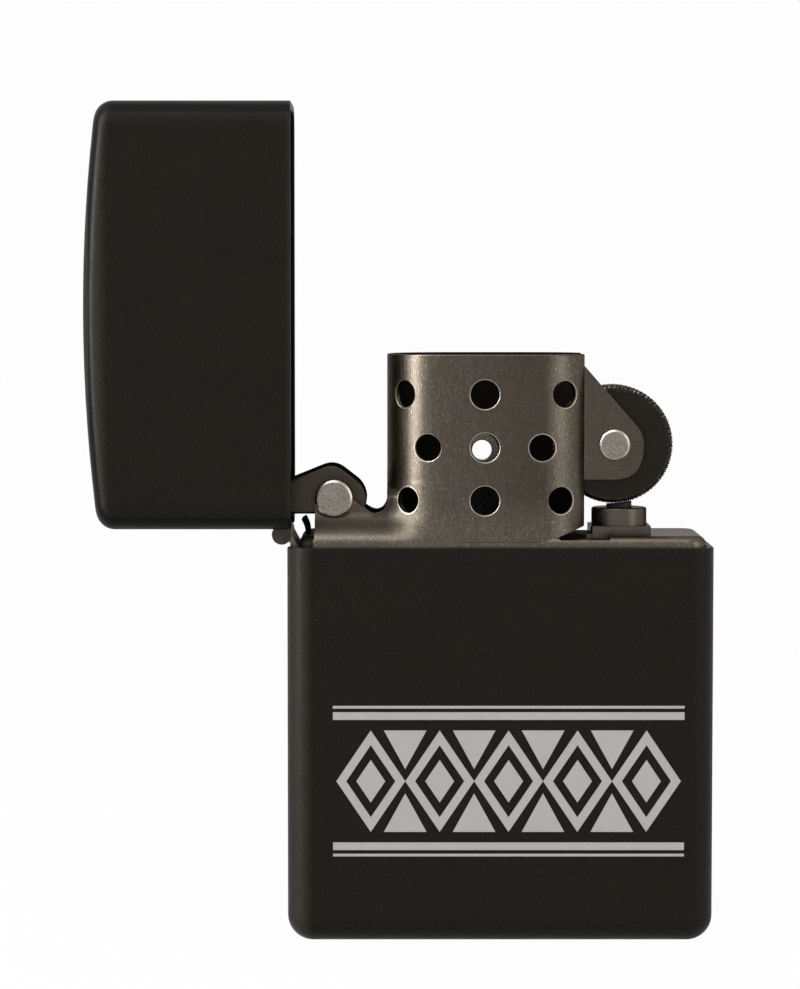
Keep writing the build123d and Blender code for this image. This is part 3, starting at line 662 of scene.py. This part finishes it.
def skirt_outline(steps):
    """The skirt's upper edge seen from the front, as X and Z, with the X where its ruled line
    starts at the bottom: level behind the rivet's head, down a hyperbola to the valley, up a
    quarter ellipse to the chimney's left edge, up that edge, and level to the right."""
    x = np.linspace(skirt_left, valley_x, 3 * steps)
    slope = valley_z + np.hypot(valley_softness, valley_slope * (x - valley_x)) - valley_softness
    left = points_of(x, np.minimum(slope, rivet_z))
    turn = np.linspace(0, np.pi / 2, steps)[1:]
    run_x = valley_x + (chimney_left - valley_x) * np.sin(turn)
    run_up = points_of(run_x, valley_z + valley_rise * (1 - np.cos(turn)))
    edge = points_of(chimney_left, np.linspace(valley_z + valley_rise, skirt_top, steps)[1:])
    across = np.linspace(0, 1, 3 * steps)[1:] ** 2
    level = points_of(chimney_left + (skirt_right - chimney_left) * across, skirt_top)
    right = np.concatenate([run_up, edge, level])
    bottom = np.linspace(valley_x, skirt_right, len(right) + 1)[1:]
    return np.concatenate([left, right]), np.concatenate([x, bottom])


def skirt_grid(rows, steps):
    """Straight lines from the skirt's bottom edge to its upper outline, as X and Z."""
    top, bottom_x = skirt_outline(steps)
    bottom = points_of(bottom_x, skirt_bottom)
    rise = 1 - (1 - np.linspace(0, 1, rows)[:, None, None]) ** 1.8
    return bottom * (1 - rise) + top * rise


def holed(flat, faces, middle, half):
    """A grid with an oval hole: the points inside the oval are moved straight out to its
    edge, and the faces that lie only between such points are left out."""
    from_middle = (flat - middle) / half
    reach = np.linalg.norm(from_middle, axis=1, keepdims=True)
    inside = reach[:, 0] < 1
    flat = np.where(reach < 1, middle + from_middle / np.maximum(reach, 1e-9) * half, flat)
    faces = faces[~inside[faces].all(axis=1)]
    used, place = np.unique(faces, return_inverse=True)
    return flat[used], place.reshape(faces.shape)


def skirt_surface(flat, side):
    """The skirt's outer face: each point of the grid set back by the skirt's depth, and sunk
    a little along the borders where it runs out into the shell, with how much painted shade it
    takes there. Side is -1 at the front."""
    x, z = flat[:, 0], flat[:, 1]
    border = np.minimum((skirt_right - x) / (1.6 * mm), (skirt_top - z) / (1.2 * mm))
    lift = proud - 0.05 * mm * (1 - smooth_step(border)) * (x > chimney_left + 0.2 * mm)
    depth, hollow = skirt_form(x, z)
    return points_of(x, side * (half_depth - depth + lift), z), hollow


def finished_mesh(piece, sharp_angle):
    """Applies a piece's modifiers and leaves it with the mesh that they give."""
    depsgraph = bpy.context.evaluated_depsgraph_get()
    mesh = bpy.data.meshes.new_from_object(piece.evaluated_get(depsgraph))
    piece.modifiers.clear()
    piece.data = mesh
    shade_smooth(mesh, sharp_angle)


low_hole_middle = np.array([chimney_left + 1.89 * mm, shell_high[2] - 13.14 * mm])
low_hole_half = np.array([0.93, 1.16]) * mm
for side, name in ((-1, "front"), (1, "back")):
    flat = skirt_grid(rows=84, steps=26)
    faces = grid_faces(*flat.shape[:2])
    flat = flat.reshape(-1, 2)
    if side < 0:
        flat, faces = holed(flat, faces, low_hole_middle, low_hole_half)
    else:
        faces = faces[:, ::-1]
    points, hollow = skirt_surface(flat, side)
    skirt = make_piece(f"insert_skirt_{name}", points, faces)
    # The painted shade's share is kept on each point of the skirt.
    hollow_painted_shade = skirt.data.attributes.new("hollow_painted_shade", "FLOAT", "POINT")
    hollow_painted_shade.data.foreach_set("value", hollow)
    skirt.data.materials.append(steel.material)
    wall = skirt.modifiers.new("wall", "SOLIDIFY")
    wall.thickness = sheet
    wall.offset = -1
    rim = skirt.modifiers.new("rim", "BEVEL")
    rim.width = 0.05 * mm
    rim.segments = 2
    rim.limit_method = "ANGLE"
    rim.angle_limit = np.radians(60)
    finished_mesh(skirt, sharp_angle=35)
    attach(skirt, "insert")

# --------------------------------------------------
# The cam with its leaf spring, both of hardened steel that is blued dark, and
# the rivet that the cam turns on, peened over both ears.
blued = Finish("blued_cam_steel", Specular_IOR_Level=0.0, Specular_Tint=(0.20, 0.18, 0.15, 1))
blued_cloud = blued.noise(1.6 * mm, detail=5)
blued_speck = blued.noise(0.11 * mm, detail=2)
blued_tone = blued.mixed(blued_cloud, (0.034, 0.029, 0.022), (0.060, 0.051, 0.040))
blued_tone = blued.flecked(blued_tone, blued_speck, 0.5, 0.8, 0.4, (0.09, 0.08, 0.065))
cam_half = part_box("cam")[1][1]
# Painted shade: away from the front and back faces, the edges are painted matt near black.
painted_shade_edges = blued.scaled(
    blued.maths("ABSOLUTE", blued.along(1)), cam_half - 0.04 * mm, cam_half - 0.16 * mm
)
blued.colour(blued.mixed(painted_shade_edges, blued_tone, (0.0045, 0.004, 0.0035)))
blued.join(blued.scaled(painted_shade_edges, 0.0, 1.0, 1.0, 0.0), blued.shader.inputs["Metallic"])
blued.roughness(blued_cloud, 0.38, 0.52, painted_shade_edges, 0.45)
blued.relief((blued_speck, 0.004 * mm))
blued.put_on("cam", "cam_spring")

peened = Finish("rivet_head_steel", Metallic=1.0, Specular_Tint=(0.6, 0.57, 0.52, 1))
rivet_cloud = peened.noise(0.7 * mm, detail=5)
rivet_speck = peened.noise(0.20 * mm, detail=4, harshness=0.7)
rivet_tone = peened.mixed(rivet_cloud, (0.130, 0.118, 0.100), (0.210, 0.192, 0.166))
rivet_tone = peened.flecked(rivet_tone, rivet_speck, 0.40, 0.68, 0.75, (0.34, 0.315, 0.275))


def from_axle(finish, node):
    """How far a place lies from a node's middle line along Y."""
    middle = box_middle(node)
    return finish.distance(*(finish.away(finish.along(axis), middle[axis]) for axis in (0, 2)))


# Painted highlight: a bright ring near the rim of each riveted head, which is also smoother.
rings = []
for node in ("cam_rivet", "wheel_axle"):
    low, high = box_corners(node)
    from_rim = peened.away(from_axle(peened, node), (high - low)[2] / 2)
    rings.append(peened.scaled(from_rim, 0.26 * mm, 0.18 * mm))
rim_burnish_and_highlight = peened.largest(*rings)
peened.colour(peened.mixed(peened.times(rim_burnish_and_highlight, 0.7), rivet_tone, (0.48, 0.45, 0.39)))
peened.roughness(rivet_speck, 0.28, 0.40, rim_burnish_and_highlight, -0.08)
peened.relief((rivet_speck, 0.012 * mm), (rivet_cloud, 0.02 * mm))

rivet_head_height = 0.45 * mm
chamfer_reach = 0.24 * mm
chamfer_slope = 0.11 / 0.16


def rivet_piece(name, node, shank_radius):
    """A riveted pin on a node's own middle line, its heads as wide and as long as the
    node's box. A chamfer, a straight line that falls outward, cuts each head's rim."""
    low, high = box_corners(node)
    radius = (high - low)[2] / 2
    crown = 0.03 * mm
    head = domed_head(radius, high[1] - rivet_head_height, high[1], 0.26 * mm, crown)
    past_start = np.clip(head[:, 0] - (radius - chamfer_reach), 0, None)
    head[:, 1] = np.minimum(head[:, 1], high[1] - crown - chamfer_slope * past_start)
    piece = make_piece(name, *pinned(head, shank_radius, box_middle(node)))
    piece.data.materials.append(peened.material)
    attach(piece, "insert")
    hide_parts(node)


rivet_piece("cam_rivet_peened", "cam_rivet", 0.80 * mm)

# --------------------------------------------------
# The spark wheel: hardened steel with two sets of slanting file cuts that
# cross on its rim and run out over the bevels, on an axle riveted in the ears.
tooth_count = 84
tooth_depth = 0.24 * mm
tooth_lean = 0.9
bevel_width = 0.42 * mm
bevel_drop = 0.40 * mm
hub_radius = 2.3 * mm
hub_ease = 0.08 * mm
bore_radius = 0.80 * mm

wheel_low, wheel_high = box_corners("spark_wheel")
wheel_middle = box_middle("spark_wheel")
wheel_radius = (wheel_high[2] - wheel_low[2]) / 2
hub_half = wheel_high[1]
side_half = hub_half - 0.2 * mm


def wheel_profile(rim_rows, side_rows):
    """Radius and Y round half the wheel's section and back through its bore: hub, flat side,
    bevel, rim, and the same mirrored."""
    rim_edge = side_half - bevel_width
    hub = [[bore_radius, -hub_half], [hub_radius - hub_ease, -hub_half]]
    hub += [[hub_radius, -hub_half + hub_ease], [hub_radius + hub_ease / 2, -side_half]]
    flat_radii = np.linspace(hub_radius + 0.2 * mm, wheel_radius - bevel_drop, side_rows)
    flat = [[radius, -side_half] for radius in flat_radii]
    share = np.linspace(0, 1, 8)[1:]
    bevel = points_of(wheel_radius - bevel_drop * (1 - share), -side_half + bevel_width * share)
    rim = [[wheel_radius, y] for y in np.linspace(-rim_edge, rim_edge, rim_rows)[1:-1]]
    half = np.concatenate([hub, flat, bevel])
    return np.concatenate([half, rim, half[::-1] * (1, -1)])


def saw(value):
    """A triangle wave between 0 and 1 with a period of 1."""
    return 2 * np.abs(value - np.floor(value + 0.5))


def filed_wheel(around, rim_rows, side_rows):
    """The wheel's section carried round its axle. Each point is lowered by the deeper of two
    V cuts, triangle waves over the angle plus or less the place across the rim. The cuts
    fade out below the bevel."""
    profile = wheel_profile(rim_rows, side_rows)
    turn = full_turn(around)
    radius, y = profile[:, None, 0], profile[:, None, 1]
    teeth = tooth_count * turn / (2 * np.pi)
    pitch = 2 * np.pi * wheel_radius / tooth_count
    cut = 1 - np.minimum(saw(teeth + tooth_lean * y / pitch), saw(teeth - tooth_lean * y / pitch))
    reach = smooth_step((radius - (wheel_radius - bevel_drop - 0.05 * mm)) / (0.3 * mm))
    radius = radius - tooth_depth * cut * reach
    x, z = radius * np.cos(turn), radius * np.sin(turn)
    return points_of(wheel_middle.x + x, wheel_middle.y + y, wheel_middle.z + z)


wheel_points = filed_wheel(around=tooth_count * 8, rim_rows=44, side_rows=10)
wheel = make_piece(
    "filed_spark_wheel",
    wheel_points,
    grid_faces(*wheel_points.shape[:2], rows_close=True, columns_close=True)[:, ::-1],
    sharp_angle=25,
)
filed = Finish("file_cut_steel", Metallic=1.0, Specular_Tint=(0.30, 0.28, 0.25, 1))
file_cloud = filed.noise(1.2 * mm, detail=5)
file_speck = filed.noise(0.10 * mm, detail=2)
file_tone = filed.mixed(file_cloud, (0.012, 0.011, 0.009), (0.024, 0.021, 0.017))
file_tone = filed.flecked(file_tone, file_speck, 0.5, 0.8, 0.35, (0.06, 0.053, 0.043))
worn = filed.times(
    filed.scaled(
        from_axle(filed, "spark_wheel"), wheel_radius - 0.55 * mm, wheel_radius - 0.25 * mm
    ),
    filed.scaled(filed.noise(0.22 * mm, detail=2), 0.50, 0.64),
)
filed.colour(filed.mixed(worn, file_tone, (0.15, 0.13, 0.105)))
filed.roughness(file_cloud, 0.36, 0.52)
filed.relief((file_speck, 0.006 * mm))
wheel.data.materials.append(filed.material)
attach(wheel, "wheel")
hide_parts("spark_wheel")

rivet_piece("wheel_axle_peened", "wheel_axle", 0.75 * mm)

# --------------------------------------------------
# The flint tube, its collar and its seat plate: turned and stamped steel. In
# the tube lie the flint, a brass plunger and, wound from brass wire, the coil
# spring that pushes them up from the brass screw.
collar = Finish("turned_collar_steel", Metallic=1.0, Specular_Tint=(0.25, 0.23, 0.20, 1))
turned_ring = collar.noise(0.06 * mm, stretch=(40, 40, 1), detail=3)
turned_cloud = collar.noise(1.1 * mm, detail=5)
turned_tone = collar.mixed(turned_cloud, (0.050, 0.042, 0.033), (0.125, 0.108, 0.088))
collar.colour(collar.flecked(turned_tone, turned_ring, 0.5, 0.8, 0.5, (0.19, 0.165, 0.135)))
collar.roughness(turned_cloud, 0.26, 0.42)
collar.relief((turned_ring, 0.003 * mm), (turned_cloud, 0.02 * mm))
collar.put_on("flint_tube", "flint_plate")

alloy = Finish("flint_alloy", Metallic=0.85, Specular_Tint=(0.3, 0.3, 0.3, 1))
flint_grain = alloy.noise(0.14 * mm, detail=4, harshness=0.7)
flint_cloud = alloy.noise(0.7 * mm, detail=4)
alloy.colour(alloy.mixed(flint_cloud, (0.020, 0.018, 0.015), (0.065, 0.058, 0.050)))
alloy.roughness(flint_grain, 0.45, 0.7)
alloy.relief((flint_grain, 0.02 * mm))
alloy.put_on("flint")

brass = Finish("drawn_brass", Metallic=1.0, Specular_Tint=(0.9, 0.8, 0.6, 1))
brass_cloud = brass.noise(1.4 * mm, detail=5)
brass_line = brass.noise(0.07 * mm, stretch=(30, 30, 1), detail=3)
brass_tone = brass.mixed(brass_cloud, (0.42, 0.27, 0.10), (0.62, 0.44, 0.19))
brass.colour(brass.flecked(brass_tone, brass_line, 0.5, 0.8, 0.4, (0.30, 0.18, 0.07)))
brass.roughness(brass_cloud, 0.22, 0.38)
brass.relief((brass_line, 0.003 * mm))
brass.put_on("plunger", "flint_screw")

coil_turns = 19
wire_radius = 0.18 * mm


def running_sum(values):
    """0, then the sum of the values up to each of them."""
    return np.concatenate([[0], np.cumsum(values)])


def unit(vectors):
    """Vectors in the same directions, each of length 1."""
    return vectors / np.linalg.norm(vectors, axis=-1, keepdims=True)


def wound_coil(low, high, middle, outer_radius, steps_a_turn, around):
    """A wire of round section carried along a helix. Its end turns lie close together, so the
    pitch rises from the wire's own width to its full size within a turn and a half; the
    section stands on the radius and on the direction across the wire."""
    t = np.linspace(0, coil_turns, coil_turns * steps_a_turn + 1)
    opened = smooth_step(np.minimum(t, coil_turns - t) / 1.5 - 0.5)
    open_run, closed_run = (
        running_sum((pitch[1:] + pitch[:-1]) / 2) for pitch in (opened, 1 - opened)
    )
    z = 2 * wire_radius * closed_run / steps_a_turn
    z = low + wire_radius + z + (high - low - 2 * wire_radius - z[-1]) * open_run / open_run[-1]
    out = points_of(np.cos(2 * np.pi * t), np.sin(2 * np.pi * t), 0)
    path = (outer_radius - wire_radius) * out
    path[:, 2] = z
    across = np.cross(unit(np.gradient(path, axis=0)), out)
    turn = full_turn(around)[:, None]
    points = path[:, None] + wire_radius * (
        np.cos(turn) * out[:, None] + np.sin(turn) * across[:, None]
    )
    axle = np.array([middle[0], middle[1], 0])
    return points + axle, path[[0, -1]] + axle


coil_low, coil_high = box_corners("flint_spring")
coil, coil_ends = wound_coil(
    coil_low[2],
    coil_high[2],
    box_middle("flint_spring"),
    outer_radius=(coil_high - coil_low)[1] / 2,
    steps_a_turn=28,
    around=12,
)
spring = make_piece(
    "flint_spring_coil",
    np.concatenate([coil.reshape(-1, 3), coil_ends]),
    tube_faces(*coil.shape[:2]),
)
spring.data.materials.append(brass.material)
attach(spring, "insert")
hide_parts("flint_spring")
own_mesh(spring)

# --------------------------------------------------
# The wick: a round braid of cotton yarns over a core. It runs down between
# the wads, and its top is charred black, brown below that, then cream.
wick_radius = 1.5 * mm
yarns_each_way = 12
yarn_relief = 0.13 * mm
braid_lean = 1.15
wick_low, wick_high = box_corners("wick")
wick_top = wick_high[2]
wick_x = box_middle("wheel_axle")[0] - 11.65 * mm
wick_route = np.array(
    [
        [wick_x, wick_top],
        [wick_x, wick_top - 6.2 * mm],
        [wick_x, deck_z - 5.5 * mm],
        [wick_x - 4.4 * mm, deck_z - 15.0 * mm],
        [wick_x - 1.2 * mm, deck_z - 24.0 * mm],
        [wick_x - 3.2 * mm, wick_low[2] + 0.35 * mm],
    ]
)


def smooth_route(corners, steps):
    """A quadratic B-spline through the ends of a route, which rounds each corner between:
    each span blends three corners by (1-t)²/2, (1+2t-2t²)/2 and t²/2."""
    before, after = 2 * corners[0] - corners[1], 2 * corners[-1] - corners[-2]
    padded = np.concatenate([[before], corners, [after]])
    t = np.linspace(0, 1, steps, endpoint=False)[:, None]
    weights = ((1 - t) ** 2 / 2, (1 + 2 * t - 2 * t**2) / 2, t**2 / 2)
    spans = [
        sum(w * padded[i + k] for k, w in enumerate(weights)) for i in range(len(padded) - 2)
    ]
    return np.concatenate(spans)[steps // 2 : -(steps // 2)]


def braided_wick(around, spacing):
    """A round braid along the route: the radius rises over two families of yarns, the larger
    of two cosine ridges that wind to the left and to the right, each taking turns on top.
    Near the top the strands spread a little."""
    fine = smooth_route(wick_route, 200)
    run = running_sum(np.linalg.norm(np.diff(fine, axis=0), axis=1))
    s = np.arange(0, run[-1], spacing)
    x, z = (np.interp(s, run, fine[:, column])[:, None] for column in (0, 1))
    heading = unit(np.concatenate([np.gradient(x, axis=0), np.gradient(z, axis=0)], axis=1))
    turn = full_turn(around)
    wind = braid_lean * s[:, None] / wick_radius
    left = np.cos(yarns_each_way * (turn + wind))
    right = np.cos(yarns_each_way * (turn - wind))
    over = 0.25 * np.sin(yarns_each_way * turn) * np.sin(yarns_each_way * wind)
    ridge = np.maximum(left + over, right - over)
    radius = wick_radius - yarn_relief + yarn_relief * 0.8 * ridge
    end = np.minimum(s, run[-1] - s)[:, None]
    cap = np.sqrt(np.clip(1 - (1 - np.clip(end / (0.7 * mm), 0, 1)) ** 2, 0, 1))
    tuft = 0.5 + 0.5 * np.sin(7 * turn + 1.3) * np.sin(3 * turn)
    radius = radius * (0.12 + 0.88 * cap) * (1 - 0.18 * tuft * np.exp(-end / (1.2 * mm)))
    aside = radius * np.cos(turn)
    return points_of(x + aside * heading[:, 1:2], radius * np.sin(turn), z - aside * heading[:, :1])


def with_ends(tube):
    """A tube's points, followed by the middles of its two ends."""
    return np.concatenate([tube.reshape(-1, 3), tube[[0, -1]].mean(axis=1)])


braid = braided_wick(around=96, spacing=0.11 * mm)
wick = make_piece("braided_wick", with_ends(braid), tube_faces(*braid.shape[:2]), sharp_angle=180)
yarn = Finish("charred_cotton_braid", Specular_IOR_Level=0.1, Sheen_Weight=0.25)
yarn_cloud = yarn.noise(0.9 * mm, detail=5)
yarn_fibre = yarn.noise(0.05 * mm, stretch=(1, 1, 6), detail=3)
yarn_height = yarn.maths("ADD", yarn.along(2), yarn.times(yarn_cloud, 1.6 * mm))
yarn_tone = yarn.mixed(yarn_fibre, (0.50, 0.43, 0.31), (0.72, 0.66, 0.52))
browned = yarn.scaled(yarn_height, deck_z + 0.6 * mm, deck_z + 2.2 * mm)
charred = yarn.scaled(yarn_height, deck_z + 1.8 * mm, deck_z + 3.0 * mm)
yarn_tone = yarn.mixed(browned, yarn_tone, (0.055, 0.030, 0.014))
yarn.colour(yarn.mixed(charred, yarn_tone, (0.006, 0.0055, 0.005)))
yarn.roughness(yarn_fibre, 0.80, 0.95)
yarn.relief((yarn_fibre, 0.03 * mm))
wick.data.materials.append(yarn.material)
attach(wick, "insert")
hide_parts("wick")

# --------------------------------------------------
# The wadding: six tufts of cotton wool pushed into the tank on both sides of
# the wick. They hold the fuel, and press the wick where it bends.
wads_low, wads_high = box_corners("packing_balls")
wad_half = np.array([4.15, 5.0, 4.15]) * mm
wad_squareness = 0.62


def woolly(points, size, seed, waves=24):
    """Smooth noise about 0: a sum of sine waves in seeded directions, of wavelengths from
    size to a quarter of it, weaker where they are shorter."""
    random = np.random.default_rng(seed)
    total = np.zeros(points.shape[:-1])
    for wave in range(waves):
        heading = unit(random.normal(size=3))
        length = size * 0.25 ** random.random()
        start = random.uniform(0, 2 * np.pi)
        total += (length / size) * np.sin(points @ heading * 2 * np.pi / length + start)
    return total / np.sqrt(waves)


def wad_of_wool(middle, seed, rows=44, around=64):
    """A squeezed ball: a superellipsoid, its cosines and sines raised to a power below 1,
    pulled in by noise into lumps and creases. Its two poles are closed by short rings."""
    tilt = np.linspace(-np.pi / 2 + 0.02, np.pi / 2 - 0.02, rows)[:, None]
    turn = full_turn(around)
    out, up, x, y = (
        np.sign(wave) * np.abs(wave) ** wad_squareness
        for wave in (np.cos(tilt), np.sin(tilt), np.cos(turn), np.sin(turn))
    )
    points = points_of(out * x, out * y, up) * wad_half
    lumps = woolly(points + middle, 4.5 * mm, seed) * 0.06
    lumps += woolly(points + middle, 1.1 * mm, seed + 9) * 0.02
    return middle + points * (0.93 + np.clip(lumps, -0.12, 0.07))[..., None]


wad_points, wad_faces = [], []
first_middle, last_middle = wads_low + wad_half, wads_high - wad_half
for row in range(3):
    for column, x in enumerate((first_middle[0], last_middle[0])):
        middle = np.array([x, 0, first_middle[2] + (last_middle - first_middle)[2] * row / 2])
        wad = wad_of_wool(middle, seed=20 + 2 * row + column)
        first = sum(len(points) for points in wad_points)
        wad_points.append(with_ends(wad))
        wad_faces += tube_faces(*wad.shape[:2], first)
wads = make_piece("cotton_wads", np.concatenate(wad_points), wad_faces, sharp_angle=180)
wool = Finish("fuel_soaked_wool", Specular_IOR_Level=0.1, Sheen_Weight=0.4)
wool_cloud = wool.noise(2.2 * mm, detail=6)
wool_fibre = wool.noise(0.08 * mm, stretch=(1, 1, 4), detail=4, harshness=0.7)
wool_tone = wool.mixed(wool_cloud, (0.56, 0.52, 0.44), (0.80, 0.78, 0.72))
wool.colour(wool.flecked(wool_tone, wool_fibre, 0.35, 0.65, 0.3, (0.42, 0.38, 0.30)))
wool.roughness(wool_fibre, 0.85, 0.97)
wool.relief((wool_fibre, 0.06 * mm), (wool_cloud, 0.25 * mm))
wads.data.materials.append(wool.material)
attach(wads, "insert")
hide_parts("packing_balls")

# --------------------------------------------------
# The felt: a pad of pressed grey wool felt that closes the tank's bottom,
# cut out round the flint tube, its cut edges slightly fuzzy.
felt_low, felt_high = box_corners("felt_pad")
felt_corner = 1.2 * mm
edge_height = 0.12
edge_reach = 0.01
fuzz_depth = 0.06 * mm
felt_hole_radius = 2.26 * mm
felt_hole = np.array([box_middle("flint_tube")[0], 0.0])


def rounded_plan_distance(points, middle, half, corner):
    """How far points lie outside a rectangle with rounded corners, negative inside it."""
    over = np.abs(points - middle) - (half - corner)
    outside = np.linalg.norm(np.maximum(over, 0), axis=-1)
    return outside + np.minimum(np.max(over, axis=-1), 0) - corner


def felt_slab(around, loop_steps):
    """Lines from the hole's edge straight out to the pad's edge, found by halving, carried
    round a closed loop: up the hole's wall, out over the top, down the outer wall and back
    underneath, with soft corners and a little noise."""
    turn = full_turn(around)
    heading = points_of(np.cos(turn), np.sin(turn))
    middle = (felt_low + felt_high) / 2
    half = (felt_high - felt_low) / 2
    near, far = np.zeros(around), np.full(around, 0.1)
    for _ in range(50):
        guess = (near + far) / 2
        place = felt_hole + heading * guess[:, None]
        distance = rounded_plan_distance(place, middle[:2], half[:2], felt_corner)
        near = np.where(distance < 0, guess, near)
        far = np.where(distance < 0, far, guess)
    bend = np.radians(np.linspace(0, 90, 5))[1:-1]
    bend_in, bend_up = edge_reach * (1 - np.cos(bend)), 1 - edge_height * (1 - np.sin(bend))
    across = np.linspace(edge_reach, 1 - edge_reach, loop_steps)
    top = np.concatenate(
        [
            [(0.0, 0.5), (0.0, 1 - edge_height)],
            points_of(bend_in, bend_up),
            points_of(across, 1.0),
            points_of(1 - bend_in, bend_up)[::-1],
            [(1.0, 1 - edge_height), (1.0, 0.5)],
        ]
    )
    loop = np.concatenate([top, points_of(top[-2:0:-1, 0], 1 - top[-2:0:-1, 1])])[:, None]
    reach = felt_hole_radius + (near - felt_hole_radius) * loop[..., 0]
    plan = felt_hole + heading * reach[..., None]
    z = felt_low[2] + 2 * half[2] * loop[..., 1]
    points = points_of(plan[..., 0], plan[..., 1], z)
    fuzz = np.clip(0.5 + woolly(points, 0.9 * mm, seed=5), 0, 1.5)[..., None]
    return points + unit(middle - points) * fuzz * fuzz_depth


felt_points = felt_slab(around=260, loop_steps=60)
felt = make_piece(
    "felt_slab",
    felt_points,
    grid_faces(*felt_points.shape[:2], rows_close=True, columns_close=True)[:, ::-1],
    sharp_angle=180,
)
pressed = Finish("pressed_wool_felt", Specular_IOR_Level=0.1, Sheen_Weight=0.5)
felt_cloud = pressed.noise(1.8 * mm, detail=6)
felt_fibre = pressed.noise(0.07 * mm, stretch=(4, 4, 1), detail=4, harshness=0.7)
felt_tone = pressed.mixed(felt_cloud, (0.30, 0.29, 0.27), (0.46, 0.45, 0.42))
pressed.colour(pressed.flecked(felt_tone, felt_fibre, 0.35, 0.65, 0.4, (0.20, 0.19, 0.18)))
pressed.roughness(felt_fibre, 0.85, 0.98)
pressed.relief((felt_fibre, 0.05 * mm), (felt_cloud, 0.12 * mm))
felt.data.materials.append(pressed.material)
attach(felt, "insert")
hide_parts("felt_pad")
